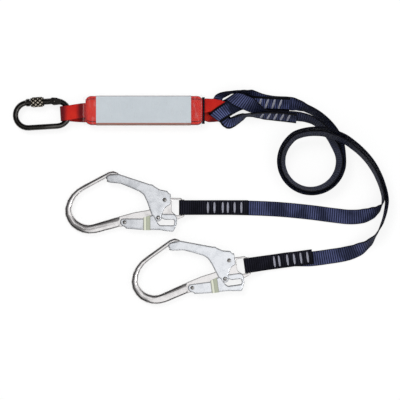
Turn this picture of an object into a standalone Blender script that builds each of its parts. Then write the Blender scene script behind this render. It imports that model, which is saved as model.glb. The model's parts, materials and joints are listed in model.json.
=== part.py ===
"""Twin shock-absorbing lanyard, laid out flat and seen from above.

A screw-sleeve oval carabiner holds a tear-webbing energy absorber in its clear
sleeve. Two webbing legs are threaded through the absorber's far loop, share one
loose turn on the table and end in two scaffold hooks with gate and lock lever.

Metres, +Z up. The origin is the middle of the absorber's underside, +X runs
along the absorber towards the hooks' straps.
"""
import math

import bmesh
import bpy
from mathutils import Matrix, Vector

# Clearances
GAP = 0.0003          # between pieces that touch
SWEEP_GAP = 0.0009    # round what slides in a slot or bore

# Webbing
WEB_WIDTH = 0.028
WEB_THICK = 0.0025
PLY_GAP = 0.0005      # between the two plies of a sewn eye
WEB_STEP = 0.009      # spacing of the sections along a strap
LOOP_STEP = 0.006     # the same along the absorber's loops
SEWN_LENGTH = 0.1245  # cut tail to eye bar at a hook
FLAT_Z = 0.0016       # middle of a strap that lies flat
EDGE_Z = 0.0146       # middle of a strap that stands on edge

# Loose turn on the table that both legs share
TURN_CENTRE = Vector((0.3154, -0.0956))
TURN_RADII = {"hook_2": 0.0596, "hook_1": 0.0536}

# Scaffold hook, measured from the centre of the bar of its eye
HOOK_BODY_THICK = 0.008
HOOK_PLATE = 0.0015           # sheet of the gate and of the lock lever
HOOK_BAR_RADIUS = 0.0039
HOOK_EYE_HALF = 0.0148        # half the length of the eye's round bar
HOOK_HEAD_HEIGHT = 0.0008     # rivet heads
GATE_PIVOT = Vector((-0.0338, 0.0146))
GATE_RIVET_RADIUS = 0.0022
GATE_RIVET_HEAD = 0.0036
LEVER_PIVOT = Vector((-0.1096, -0.0276))
LEVER_RIVET_RADIUS = 0.0020
LEVER_RIVET_HEAD = 0.0034
CATCH_PIN = Vector((-0.0458, -0.0190))
CATCH_RADIUS = 0.0026
CATCH_HEAD = 0.0034
CATCH_BORE = 0.0014
GATE_WIRE = 0.0010            # wire of the gate's torsion spring
GATE_COIL_RADIUS = 0.0040
LEVER_WIRE = 0.0007           # wire of the lever's compression spring
LEVER_COIL_RADIUS = 0.0020
LEVER_COIL_TURNS = 6
BAND_THICK = 0.0005           # inspection band round the lever

# Where the two hooks lie
HOOK_PLACES = {
    "hook_1": (0.0722, -0.1834, 0.0),
    "hook_2": (0.1956, -0.2930, math.radians(7.7)),
}

# Carabiner, measured from its centre, long side along X, gate on the +Y side
CARABINER_PLACE = (-0.1928, -0.0072, math.radians(3.5))
ROD_RADIUS = 0.00525
OVAL_HALF_STRAIGHT = 0.0270
OVAL_RADIUS = 0.02375         # of the rod's centre line
COLLAR_RADIUS = 0.0073
COLLAR_START = -0.0304
COLLAR_END = -0.0219
GATE_ROD_RADIUS = 0.00575
HINGE_X = 0.0238
HINGE_CHEEK_RADIUS = 0.0074
TANG_THICK = 0.0046
TANG_REACH = 0.0046           # of the gate's round end about its rivet
CARABINER_RIVET_RADIUS = 0.0016
SLEEVE_RADIUS = 0.0095
SLEEVE_BORE = 0.0078
SLEEVE_LENGTH = 0.0245
SLEEVE_FLUTES = 14
TONGUE_THICK = 0.0040
TONGUE_LENGTH = 0.0050
PLUNGER_RADIUS = 0.0012       # sprung pin that closes the gate
PLUNGER_LENGTH = 0.0090
PLUNGER_OFFSET = 0.0036       # inward of the gate's axis
PLUNGER_WIRE = 0.0005
PLUNGER_COILS = 8
SPRING_START = 0.0060         # closed end of the bore that holds the plunger's spring

# Energy absorber
PACK_LENGTH = 0.218
PACK_WIDTH = 0.0544
PACK_THICK = 0.0200
FOLD_DEPTH = 0.0030           # of the grooves between the folds at its ends
LABEL_LENGTH = 0.179
LABEL_THICK = 0.0004
SHRINK_LENGTH = 0.230
SHRINK_WALL = 0.0010
LOOP_CAVITY = 0.0094          # half the space inside the carabiner's loop
LOOP_BIGHT_X = -0.1470
LOOP_SEAT = 0.0050            # how far the loops' plies reach into the folded webbing
LOOP_LEVEL = 0.0053           # of the near loop's plies above and below the pack's middle
NEAR_PLIES = (0.0, -0.0078)   # across the pack, upper and lower ply
FAR_LOOP_LEVEL = 0.0042
FAR_PLIES = (0.0084, -0.0052)
FAR_LOOP_WIDTH = 0.0220       # at its bight, where the legs gather it
FAR_LOOP_BIGHT_X = 0.1645
FAR_LOOP_BIGHT_Y = 0.0055
FAR_LOOP_RISE = 0.0120        # between the middles of its two plies
PACK_MIDDLE = PACK_THICK / 2 + GAP * 2 + LABEL_THICK + SHRINK_WALL

UP = Vector((0, 0, 1))


def clear_scene():
    for item in list(bpy.data.objects):
        bpy.data.objects.remove(item)


def finish(name, colour, roughness, metallic=0.0, alpha=1.0):
    """A Principled material of one plain finish."""
    mat = bpy.data.materials.new(name)
    mat.use_nodes = True
    shader = mat.node_tree.nodes["Principled BSDF"]
    shader.inputs["Base Color"].default_value = (*colour, 1.0)
    shader.inputs["Roughness"].default_value = roughness
    shader.inputs["Metallic"].default_value = metallic
    shader.inputs["Alpha"].default_value = alpha
    return mat


def frame(name, place, turn=0.0, parent=None):
    """An empty that carries pieces and stands on their joint's axis."""
    empty = bpy.data.objects.new(name, None)
    bpy.context.collection.objects.link(empty)
    empty.location = place
    empty.rotation_euler = (0, 0, turn)
    empty.parent = parent
    return empty


def piece(name, bm, mat=None, parent=None, offset=(0, 0, 0), smooth_angle=35):
    """Object from a bmesh, placed in its parent's frame."""
    mesh = bpy.data.meshes.new(name)
    bm.to_mesh(mesh)
    bm.free()
    mesh.shade_smooth()
    mesh.set_sharp_from_angle(angle=math.radians(smooth_angle))
    obj = bpy.data.objects.new(name, mesh)
    bpy.context.collection.objects.link(obj)
    obj.parent = parent
    obj.location = offset
    if mat:
        mesh.materials.append(mat)
    return obj


def combine(obj, bm, operation="DIFFERENCE"):
    """Cuts a shape out of the object, or joins it on, in the object's own frame."""
    tool = piece(obj.name + "_tool", bm, None, obj.parent, obj.location)
    tool.hide_render = True
    tool.display_type = "WIRE"
    step = obj.modifiers.new(operation.lower(), "BOOLEAN")
    step.operation = operation
    step.solver = "EXACT"
    step.object = tool
    return obj


def arc(centre, radius, start, end, count):
    """Points on a round stretch, from one angle to another in degrees."""
    points = []
    for i in range(count + 1):
        turn = math.radians(start + (end - start) * i / count)
        points.append(Vector((centre[0] + radius * math.cos(turn), centre[1] + radius * math.sin(turn))))
    return points


def rounded(corners, steps=3):
    """Outline through corners given as (x, y, radius), each rounded to its radius."""
    outline = []
    count = len(corners)
    for i, (x, y, radius) in enumerate(corners):
        corner = Vector((x, y))
        before = Vector(corners[i - 1][:2]) - corner
        after = Vector(corners[(i + 1) % count][:2]) - corner
        half = before.angle(after) / 2
        if radius <= 0 or half > math.radians(88):
            outline.append(corner)
            continue
        reach = min(radius / math.tan(half), before.length * 0.48, after.length * 0.48)
        start = corner + before.normalized() * reach
        end = corner + after.normalized() * reach
        for k in range(steps + 1):
            t = k / steps
            outline.append((1 - t) ** 2 * start + 2 * t * (1 - t) * corner + t * t * end)
    return outline


def prism(outline, low, high):
    """Solid of one outline between two heights."""
    bm = bmesh.new()
    face = bm.faces.new([bm.verts.new((p[0], p[1], low)) for p in outline])
    grown = bmesh.ops.extrude_face_region(bm, geom=[face])["geom"]
    lifted = [g for g in grown if isinstance(g, bmesh.types.BMVert)]
    bmesh.ops.translate(bm, verts=lifted, vec=(0, 0, high - low))
    bmesh.ops.recalc_face_normals(bm, faces=bm.faces)
    return bm


def slab(low, high):
    """Box between two corners."""
    bm = bmesh.new()
    bmesh.ops.create_cube(bm, size=1.0)
    size = Vector(high) - Vector(low)
    middle = (Vector(high) + Vector(low)) / 2
    bmesh.ops.scale(bm, verts=bm.verts, vec=size)
    bmesh.ops.translate(bm, verts=bm.verts, vec=middle)
    return bm


def turned(profile, centre, axis="Z", sides=20):
    """Solid turned from a profile of (radius, height) points about an axis through the centre."""
    bm = bmesh.new()
    verts = [bm.verts.new((radius, 0, height)) for radius, height in profile]
    edges = [bm.edges.new(pair) for pair in zip(verts, verts[1:])]
    bmesh.ops.spin(bm, geom=verts + edges, cent=(0, 0, 0), axis=(0, 0, 1), angle=math.tau,
                   steps=sides, use_merge=True)
    bmesh.ops.remove_doubles(bm, verts=bm.verts, dist=1e-6)
    if axis == "X":
        bmesh.ops.rotate(bm, verts=bm.verts, cent=(0, 0, 0), matrix=Matrix.Rotation(math.pi / 2, 3, "Y"))
    if axis == "Y":
        bmesh.ops.rotate(bm, verts=bm.verts, cent=(0, 0, 0), matrix=Matrix.Rotation(-math.pi / 2, 3, "X"))
    bmesh.ops.translate(bm, verts=bm.verts, vec=centre)
    bmesh.ops.recalc_face_normals(bm, faces=bm.faces)
    return bm


def rod(radius, low, high, centre, axis="Z", sides=20):
    """Plain round bar between two heights along its axis."""
    return turned([(0, low), (radius, low), (radius, high), (0, high)], centre, axis, sides)


def loft(rings):
    """Closed skin over rings of equally many points, capped at both ends."""
    bm = bmesh.new()
    loops = []
    for ring in rings:
        verts = [bm.verts.new(point) for point in ring]
        loops.append([bm.edges.new((verts[i - 1], verts[i])) for i in range(len(verts))])
    for before, after in zip(loops, loops[1:]):
        bmesh.ops.bridge_loops(bm, edges=before + after)
    for end in (loops[0], loops[-1]):
        bmesh.ops.contextual_create(bm, geom=end)
    bmesh.ops.recalc_face_normals(bm, faces=bm.faces)
    return bm


def wire(name, points, radius, mat, parent=None, offset=(0, 0, 0), sides=1):
    """Bent wire of one thickness along a line of points."""
    curve = bpy.data.curves.new(name, "CURVE")
    curve.dimensions = "3D"
    curve.bevel_depth = radius
    curve.bevel_resolution = sides
    curve.use_fill_caps = True
    line = curve.splines.new("POLY")
    line.points.add(len(points) - 1)
    for spot, point in zip(line.points, points):
        spot.co = (*point, 1)
    obj = bpy.data.objects.new(name, curve)
    bpy.context.collection.objects.link(obj)
    obj.parent = parent
    obj.location = offset
    curve.materials.append(mat)
    return obj


# The hook's forged bow along its middle line, from the nose round to the arm:
# place, width in the hook's plane, thickness across it
BOW = [
    (-0.1200, 0.0604, 0.0050, 0.0056),
    (-0.1244, 0.0629, 0.0080, 0.0086),
    (-0.1311, 0.0652, 0.0090, 0.0095),
    (-0.1387, 0.0635, 0.0089, 0.0095),
    (-0.1492, 0.0579, 0.0087, 0.0095),
    (-0.1691, 0.0473, 0.0090, 0.0098),
    (-0.1852, 0.0388, 0.0093, 0.0104),
    (-0.1966, 0.0317, 0.0099, 0.0108),
    (-0.2058, 0.0226, 0.0108, 0.0110),
    (-0.2126, 0.0114, 0.0118, 0.0110),
    (-0.2165, -0.0019, 0.0127, 0.0110),
    (-0.2156, -0.0128, 0.0138, 0.0110),
    (-0.2108, -0.0226, 0.0152, 0.0110),
    (-0.2046, -0.0304, 0.0162, 0.0108),
    (-0.1960, -0.0362, 0.0168, 0.0106),
    (-0.1873, -0.0398, 0.0172, 0.0104),
    (-0.1775, -0.0412, 0.0175, 0.0102),
    (-0.1680, -0.0402, 0.0181, 0.0099),
    (-0.1590, -0.0380, 0.0187, 0.0096),
    (-0.1472, -0.0345, 0.0188, 0.0091),
    (-0.1320, -0.0304, 0.0190, 0.0086),
    (-0.1191, -0.0266, 0.0191, 0.0081),
    (-0.1090, -0.0244, 0.0200, 0.0078),
]


def bow_rings(sides=14, squareness=2.6):
    """Sections of the bow: round at the nose, flatter towards the arm."""
    middle = [Vector((x, y, 0)) for x, y, _, _ in BOW]
    rings = []
    for i, (_, _, width, thick) in enumerate(BOW):
        ahead = middle[min(i + 1, len(BOW) - 1)] - middle[max(i - 1, 0)]
        across = UP.cross(ahead.normalized())
        ring = []
        for k in range(sides):
            turn = math.tau * (k + 0.5) / sides
            c, s = math.cos(turn), math.sin(turn)
            power = 2 / squareness
            side = math.copysign(abs(c) ** power, c) * width / 2
            rise = math.copysign(abs(s) ** power, s) * thick / 2
            ring.append(middle[i] + across * side + UP * rise)
        rings.append(ring)
    return rings


def arm_outline():
    """Flat arm of the hook body: from the bow to the gate's pivot and the eye."""
    eye_top = 0.0182
    eye_end = HOOK_BAR_RADIUS
    boss = arc(GATE_PIVOT, 0.0125, 190, 62, 8)
    lower = [
        (0.0030, -0.0174, 0.0015), (-0.0076, -0.0219, 0.0008), (-0.0104, -0.0218, 0.0008),
        (-0.0155, -0.0161, 0.0030), (-0.0218, -0.0143, 0.0), (-0.0503, -0.0143, 0.0040),
        (-0.0579, -0.0190, 0.0040), (-0.0712, -0.0256, 0.0), (-0.0902, -0.0312, 0.0),
        (-0.1092, -0.0353, 0.0), (-0.1200, -0.0366, 0.0), (-0.1200, -0.0170, 0.0),
        (-0.1092, -0.0141, 0.0), (-0.0902, -0.0089, 0.0), (-0.0640, -0.0046, 0.0020),
        (-0.0541, 0.0040, 0.0030),
    ]
    upper = [(-0.0218, eye_top, 0.0020), (-0.0028, eye_top, 0.0040), (eye_end, 0.0120, 0.0030),
             (eye_end, -0.0122, 0.0020)]
    outline = rounded(upper + lower)
    return outline + boss


def hook_body(name, mat, parent):
    """Forged body: bow, flat arm, eye with its bar, seat of the gate's pivot."""
    half = HOOK_BODY_THICK / 2
    body = piece(name, loft(bow_rings()), mat, parent, smooth_angle=50)
    combine(body, prism(arm_outline(), -half, half), "UNION")
    eye = rounded([
        (-0.0206, HOOK_EYE_HALF, 0.0035), (HOOK_BAR_RADIUS * 2, HOOK_EYE_HALF, 0.0),
        (HOOK_BAR_RADIUS * 2, -HOOK_EYE_HALF, 0.0), (-0.0116, -HOOK_EYE_HALF, 0.0035),
        (-0.0206, -0.0070, 0.0050),
    ])
    combine(body, prism(eye, -half * 2, half * 2))
    root = HOOK_EYE_HALF + 2 * GAP
    combine(body, rod(HOOK_BAR_RADIUS, -root, root, (0, 0, 0), "Y", 15), "UNION")
    combine(body, rod(GATE_RIVET_RADIUS + GAP, -half * 2, half * 2, GATE_PIVOT.to_3d(), sides=16))
    combine(body, rod(LEVER_RIVET_RADIUS + GAP, -half * 2, half * 2, LEVER_PIVOT.to_3d(), sides=16))
    for side in (-1, 1):
        spot = (gate_spring_anchor().x, gate_spring_anchor().y, side * half)
        combine(body, rod(GATE_WIRE / 2 + GAP, -0.0016, 0.0016, spot, sides=8))
    pocket = lever_spring_seat()
    reach = LEVER_COIL_RADIUS + LEVER_WIRE / 2 + GAP
    combine(body, rod(reach, -0.0200, 0.0, (pocket.x, pocket.y, 0), "Y", 12))
    return body


def gate_outline():
    """Side plate of the gate: long arm over the nose, broad root at the pivot, lobe at the catch pin."""
    px, py = GATE_PIVOT
    cx, cy = CATCH_PIN
    lobe = arc(CATCH_PIN, 0.0070, 205, 335, 6)
    corners = [
        (-0.1448, 0.0541, 0.0040), (-0.1415, 0.0615, 0.0050), (-0.1206, 0.0636, 0.0), (-0.0617, 0.0441, 0.0),
        (-0.0560, 0.0431, 0.0015), (-0.0522, 0.0399, 0.0), (px - 0.0090, py + 0.0196, 0.0030),
        (px + 0.0005, py + 0.0177, 0.0030), (px + 0.0053, py + 0.0167, 0.0030),
        (px + 0.0082, py + 0.0120, 0.0015), (px + 0.0114, py + 0.0116, 0.0015),
        (px + 0.0114, py - 0.0089, 0.0020), (px + 0.0043, py - 0.0127, 0.0010),
        (px + 0.0005, py - 0.0155, 0.0020), (cx + 0.0069, cy + 0.0047, 0.0),
    ]
    back = [
        (cx - 0.0074, cy + 0.0002, 0.0), (cx - 0.0121, cy + 0.0047, 0.0040), (-0.0627, -0.0009, 0.0060),
        (-0.0674, 0.0123, 0.0060), (-0.0731, 0.0238, 0.0080), (-0.0808, 0.0300, 0.0080),
        (-0.0998, 0.0384, 0.0060), (-0.1168, 0.0452, 0.0060), (-0.1378, 0.0473, 0.0020),
        (-0.1434, 0.0494, 0.0020),
    ]
    outline = rounded(corners)
    outline += list(reversed(lobe))
    outline += rounded([(*outline[-1], 0.0)] + back + [(*outline[0], 0.0)])[1:-1]
    return outline


def gate_cavity():
    """Room inside the gate's channel: all but the web along its inner edge."""
    web = HOOK_PLATE
    return [
        (-0.1600, 0.0494 + web), (-0.1434, 0.0494 + web), (-0.1378, 0.0473 + web * 1.03),
        (-0.1168, 0.0452 + web * 1.04), (-0.0998 + web * 0.4, 0.0384 + web * 1.1),
        (-0.0808 + web * 0.5, 0.0300 + web), (-0.0731 + web * 0.9, 0.0238 + web * 0.6),
        (-0.0674 + web, 0.0123 + web * 0.2), (-0.0672 + web, 0.0116), (-0.0900, 0.0116),
        (-0.0900, -0.0400), (0.0100, -0.0400), (0.0100, 0.0800), (-0.1600, 0.0800),
    ]


def gate_layers():
    """Half thickness of the lock lever inside and outside, then of the gate."""
    lever_in = HOOK_BODY_THICK / 2 + GAP
    lever_out = lever_in + HOOK_PLATE
    gate_in = lever_out + GAP
    return lever_in, lever_out, gate_in, gate_in + HOOK_PLATE


def hook_gate(name, mat, parent):
    """Gate: one folded sheet, a channel open to the outside."""
    _, _, inside, outside = gate_layers()
    back = -GATE_PIVOT.to_3d()
    gate = piece(name, prism(gate_outline(), -outside, outside), mat, parent, back)
    combine(gate, prism(gate_cavity(), -inside, inside))
    for spot, radius in ((GATE_PIVOT, GATE_RIVET_RADIUS), (CATCH_PIN, CATCH_RADIUS)):
        combine(gate, rod(radius + GAP, -outside * 2, outside * 2, spot.to_3d(), sides=16))
    return gate


def lever_outline():
    """Side plate of the lock lever, round at its pivot, with the finger grip at its end."""
    x, y = LEVER_PIVOT
    start = arc(LEVER_PIVOT, 0.0082, 262, 123, 7)
    corners = [
        (x + 0.0010, y + 0.0069, 0.0), (-0.0731, -0.0207, 0.0), (-0.0608, -0.0154, 0.0020),
        (-0.0503, -0.0120, 0.0040), (-0.0181, -0.0120, 0.0030), (-0.0130, -0.0137, 0.0040),
        (-0.0101, -0.0199, 0.0040), (-0.0108, -0.0313, 0.0050), (-0.0166, -0.0446, 0.0030),
        (-0.0190, -0.0458, 0.0015), (-0.0333, -0.0440, 0.0), (-0.0428, -0.0424, 0.0),
        (-0.0808, -0.0418, 0.0), (x + 0.0022, y - 0.0119, 0.0020),
    ]
    return start + rounded(corners)


def lever_cavity():
    """Room inside the lock lever's channel, above its web."""
    web = HOOK_PLATE
    x, y = LEVER_PIVOT
    return [
        (x - 0.0200, y - 0.0119 + web), (x + 0.0022, y - 0.0119 + web), (-0.0808, -0.0418 + web),
        (-0.0428, -0.0424 + web), (-0.0333, -0.0440 + web), (-0.0190, -0.0458 + web),
        (0.0100, -0.0458 + web), (0.0100, 0.0100), (x - 0.0200, 0.0100),
    ]


def lever_window():
    """Slot that the catch pin slides in, opening into the finger window."""
    reach = CATCH_RADIUS + SWEEP_GAP
    x, y = CATCH_PIN
    notch = arc(CATCH_PIN, reach, 180, 45, 5)
    corners = [
        (x + 0.0068, y - 0.0014, 0.0), (-0.0329, -0.0230, 0.0), (-0.0171, -0.0230, 0.0015),
        (-0.0152, -0.0256, 0.0015), (-0.0152, -0.0313, 0.0015), (-0.0175, -0.0337, 0.0015),
        (-0.0418, -0.0337, 0.0015), (-0.0450, -0.0313, 0.0), (x - 0.0036, y - 0.0060, 0.0010),
    ]
    return notch + rounded(corners)


def hook_lever(name, mat, parent):
    """Lock lever: a folded sheet under the body's arm, squeezed to free the gate."""
    inside, outside, _, _ = gate_layers()
    back = -LEVER_PIVOT.to_3d()
    lever = piece(name, prism(lever_outline(), -outside, outside), mat, parent, back)
    combine(lever, prism(lever_cavity(), -inside, inside))
    combine(lever, prism(lever_window(), -outside * 2, outside * 2))
    combine(lever, rod(LEVER_RIVET_RADIUS + GAP, -outside * 2, outside * 2, LEVER_PIVOT.to_3d(), sides=16))
    return lever


def rivet(name, spot, radius, head, reach, mat, parent, back, bore=0.0):
    """Rivet with a low domed head on each side; a tubular one has a bore."""
    low = reach + GAP
    top = low + HOOK_HEAD_HEIGHT
    rim = low + HOOK_HEAD_HEIGHT * 0.45
    crown = head * 0.72
    profile = [(bore, -top), (crown, -top), (head, -rim), (head, -low), (radius, -low),
               (radius, low), (head, low), (head, rim), (crown, top), (bore, top)]
    if bore:
        profile.append(profile[0])
    return piece(name, turned(profile, spot.to_3d(), sides=16), mat, parent, back)


def gate_spring_anchor():
    """Where the gate spring's ends enter the hook body."""
    return GATE_PIVOT + Vector((-0.0062, -0.0130))


def gate_spring(name, mat, parent):
    """Double torsion spring: a coil each side of the body, joined by a bridge behind the gate's web."""
    _, _, inside, _ = gate_layers()
    face = HOOK_BODY_THICK / 2
    level = (face + inside) / 2
    bridge = GATE_PIVOT + Vector((-0.0364, 0.0118))
    anchor = gate_spring_anchor()
    start = math.degrees(math.atan2(anchor.y - GATE_PIVOT.y, anchor.x - GATE_PIVOT.x))
    toward = math.degrees(math.atan2(bridge.y - GATE_PIVOT.y, bridge.x - GATE_PIVOT.x))
    coil = arc(GATE_PIVOT, GATE_COIL_RADIUS, start, toward - 90, 9)
    one_side = [anchor.to_3d() + UP * (face - 0.0010), anchor.to_3d() + UP * level]
    one_side += [point.to_3d() + UP * level for point in coil]
    one_side += [bridge.to_3d() + UP * level]
    other = [Vector((p.x, p.y, -p.z)) for p in reversed(one_side)]
    return wire(name, one_side + other, GATE_WIRE / 2, mat, parent)


def lever_spring_seat():
    """Closed end of the lever spring's bore in the body's arm."""
    return LEVER_PIVOT + Vector((0.0284, 0.0085))


def lever_spring(name, mat, parent):
    """Compression spring between the body's arm and the lever's web."""
    seat = lever_spring_seat()
    top = seat.y - GAP - LEVER_WIRE / 2
    low = -0.0418 + HOOK_PLATE + 2 * GAP + LEVER_WIRE / 2
    steps = LEVER_COIL_TURNS * 8
    points = []
    for i in range(steps + 1):
        turn = math.tau * i / 8
        points.append(Vector((seat.x + LEVER_COIL_RADIUS * math.cos(turn), low + (top - low) * i / steps,
                              LEVER_COIL_RADIUS * math.sin(turn))))
    return wire(name, points, LEVER_WIRE / 2, mat, parent)


def inspection_band(name, mat, parent):
    """Thin band folded round the lock lever's channel."""
    _, lever_out, _, _ = gate_layers()
    inner = lever_out + GAP
    outer = inner + BAND_THICK
    bottom = -0.0420
    under = bottom - GAP - BAND_THICK
    side = rounded([(-0.0743, -0.0192, 0.0), (-0.0604, -0.0146, 0.0), (-0.0604, under, 0.0),
                    (-0.0743, under, 0.0)])
    room = [(-0.0900, bottom - GAP), (-0.0500, bottom - GAP), (-0.0500, 0.0), (-0.0900, 0.0)]
    band = piece(name, prism(side, -outer, outer), mat, parent, -LEVER_PIVOT.to_3d())
    combine(band, prism(room, -inner, inner))
    return band


def hook(name, mats):
    """One scaffold hook with its gate, lock lever, rivets, catch pin and springs."""
    x, y, turn = HOOK_PLACES[name]
    _, lever_out, _, gate_out = gate_layers()
    height = hook_height()
    eye = frame(name + "_swing", (x, y, height), turn)
    gate = frame(name + "_gate_pivot", GATE_PIVOT.to_3d(), parent=eye)
    lever = frame(name + "_lever_pivot", LEVER_PIVOT.to_3d(), parent=eye)
    gate_back = -GATE_PIVOT.to_3d()
    hook_body(name + "_body", mats["forging"], eye)
    hook_gate(name + "_gate", mats["plate"], gate)
    rivet(name + "_gate_rivet", GATE_PIVOT, GATE_RIVET_RADIUS, GATE_RIVET_HEAD, gate_out, mats["rivet"],
          gate, gate_back)
    rivet(name + "_catch_pin", CATCH_PIN, CATCH_RADIUS, CATCH_HEAD, gate_out, mats["rivet"], gate,
          gate_back, CATCH_BORE)
    hook_lever(name + "_lock_lever", mats["plate"], lever)
    inspection_band(name + "_inspection_band", mats["band"], lever)
    rivet(name + "_lever_rivet", LEVER_PIVOT, LEVER_RIVET_RADIUS, LEVER_RIVET_HEAD, lever_out,
          mats["rivet"], eye, (0, 0, 0))
    gate_spring(name + "_gate_spring", mats["spring"], eye)
    lever_spring(name + "_lever_spring", mats["spring"], eye)


def oval_path():
    """Middle line of the carabiner's rod, from its nose round the back to the hinge."""
    left, right = -OVAL_HALF_STRAIGHT, OVAL_HALF_STRAIGHT
    path = [Vector((COLLAR_END, OVAL_RADIUS))]
    path += arc((left, 0), OVAL_RADIUS, 90, 270, 14)
    path += arc((right, 0), OVAL_RADIUS, -90, 90, 14)
    path.append(Vector((HINGE_X + HINGE_CHEEK_RADIUS * 0.5, OVAL_RADIUS)))
    return path


def tube_rings(path, radius, sides=14):
    """Round sections along a line in the plane."""
    rings = []
    for i, spot in enumerate(path):
        ahead = (path[min(i + 1, len(path) - 1)] - path[max(i - 1, 0)]).normalized()
        across = Vector((-ahead.y, ahead.x, 0))
        turns = [math.tau * k / sides for k in range(sides)]
        rings.append([spot.to_3d() + across * radius * math.cos(t) + UP * radius * math.sin(t)
                      for t in turns])
    return rings


def carabiner_body(name, mat, parent):
    """Bent rod with the nose's slotted collar and the hinge's cheeks."""
    body = piece(name, loft(tube_rings(oval_path(), ROD_RADIUS)), mat, parent, smooth_angle=50)
    edge = 0.0012
    collar = [(0, COLLAR_START), (ROD_RADIUS, COLLAR_START), (COLLAR_RADIUS, COLLAR_START + 2 * edge),
              (COLLAR_RADIUS, COLLAR_END - edge / 2), (COLLAR_RADIUS - edge / 2, COLLAR_END),
              (0, COLLAR_END)]
    combine(body, turned(collar, (0, OVAL_RADIUS, 0), "X"), "UNION")
    cheek = arc((HINGE_X, OVAL_RADIUS), HINGE_CHEEK_RADIUS, 115, 265, 10)
    cheek += [Vector((OVAL_HALF_STRAIGHT + 0.0090, OVAL_RADIUS - 0.0070)),
              Vector((OVAL_HALF_STRAIGHT + 0.0100, OVAL_RADIUS + 0.0010)),
              Vector((OVAL_HALF_STRAIGHT + 0.0030, OVAL_RADIUS + 0.0056))]
    combine(body, prism(cheek, -ROD_RADIUS - 0.0008, ROD_RADIUS + 0.0008), "UNION")
    slot_end = HINGE_X + TANG_THICK + GAP * 4
    half_slot = TANG_THICK / 2
    combine(body, slab((HINGE_X - 0.0200, OVAL_RADIUS - 0.0200, -half_slot),
                       (slot_end, OVAL_RADIUS + 0.0200, half_slot)))
    combine(body, rod(CARABINER_RIVET_RADIUS + GAP, -0.0200, 0.0200, (HINGE_X, OVAL_RADIUS, 0), sides=14))
    slot = TONGUE_THICK / 2 + GAP
    combine(body, slab((COLLAR_END - TONGUE_LENGTH - GAP, OVAL_RADIUS - 0.0200, -slot),
                       (COLLAR_END + 0.0010, OVAL_RADIUS + 0.0036, slot)))
    return body


def gate_tip():
    """Left end of the carabiner's gate, clear of the collar as it swings."""
    return COLLAR_END + 0.0014


def carabiner_gate(name, mat, parent):
    """Round gate: tongue into the collar, tang between the cheeks, bore for spring and plunger."""
    back = (-HINGE_X, -OVAL_RADIUS, 0)
    tang_end = HINGE_X + TANG_REACH
    half_tang = TANG_THICK / 2 - GAP
    tip = gate_tip()
    profile = [(0, tip), (GATE_ROD_RADIUS - 0.0008, tip), (GATE_ROD_RADIUS, tip + 0.0008),
               (GATE_ROD_RADIUS, tang_end), (0, tang_end)]
    gate = piece(name, turned(profile, (0, OVAL_RADIUS, 0), "X"), mat, parent, back)
    relief = HINGE_CHEEK_RADIUS + GAP
    for low, high in ((half_tang, 0.0200), (-0.0200, -half_tang)):
        round_end = arc((HINGE_X, OVAL_RADIUS), relief, 90, 270, 12)
        round_end += [Vector((HINGE_X + 0.0200, OVAL_RADIUS - relief)),
                      Vector((HINGE_X + 0.0200, OVAL_RADIUS + relief))]
        combine(gate, prism(round_end, low, high))
    past_end = arc((HINGE_X, OVAL_RADIUS), TANG_REACH, 90, -90, 8)
    past_end += [Vector((HINGE_X, OVAL_RADIUS - 0.0100)), Vector((HINGE_X + 0.0200, OVAL_RADIUS - 0.0100)),
                 Vector((HINGE_X + 0.0200, OVAL_RADIUS + 0.0100)), Vector((HINGE_X, OVAL_RADIUS + 0.0100))]
    combine(gate, prism(past_end, -0.0200, 0.0200))
    half = TONGUE_THICK / 2
    tongue = slab((COLLAR_END - TONGUE_LENGTH + GAP * 3, OVAL_RADIUS - 0.0046, -half),
                  (tip + 0.0010, OVAL_RADIUS + 0.0026, half))
    combine(gate, tongue, "UNION")
    combine(gate, rod(CARABINER_RIVET_RADIUS + GAP, -0.0200, 0.0200, (HINGE_X, OVAL_RADIUS, 0), sides=14))
    combine(gate, rod(PLUNGER_RADIUS + GAP, SPRING_START, HINGE_X + 0.0200,
                      (0, OVAL_RADIUS - PLUNGER_OFFSET, 0), "X", 12))
    return gate


def plunger_reach():
    """Tip of the plunger, against the end of the slot between the cheeks."""
    return HINGE_X + TANG_REACH + GAP * 3


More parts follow.
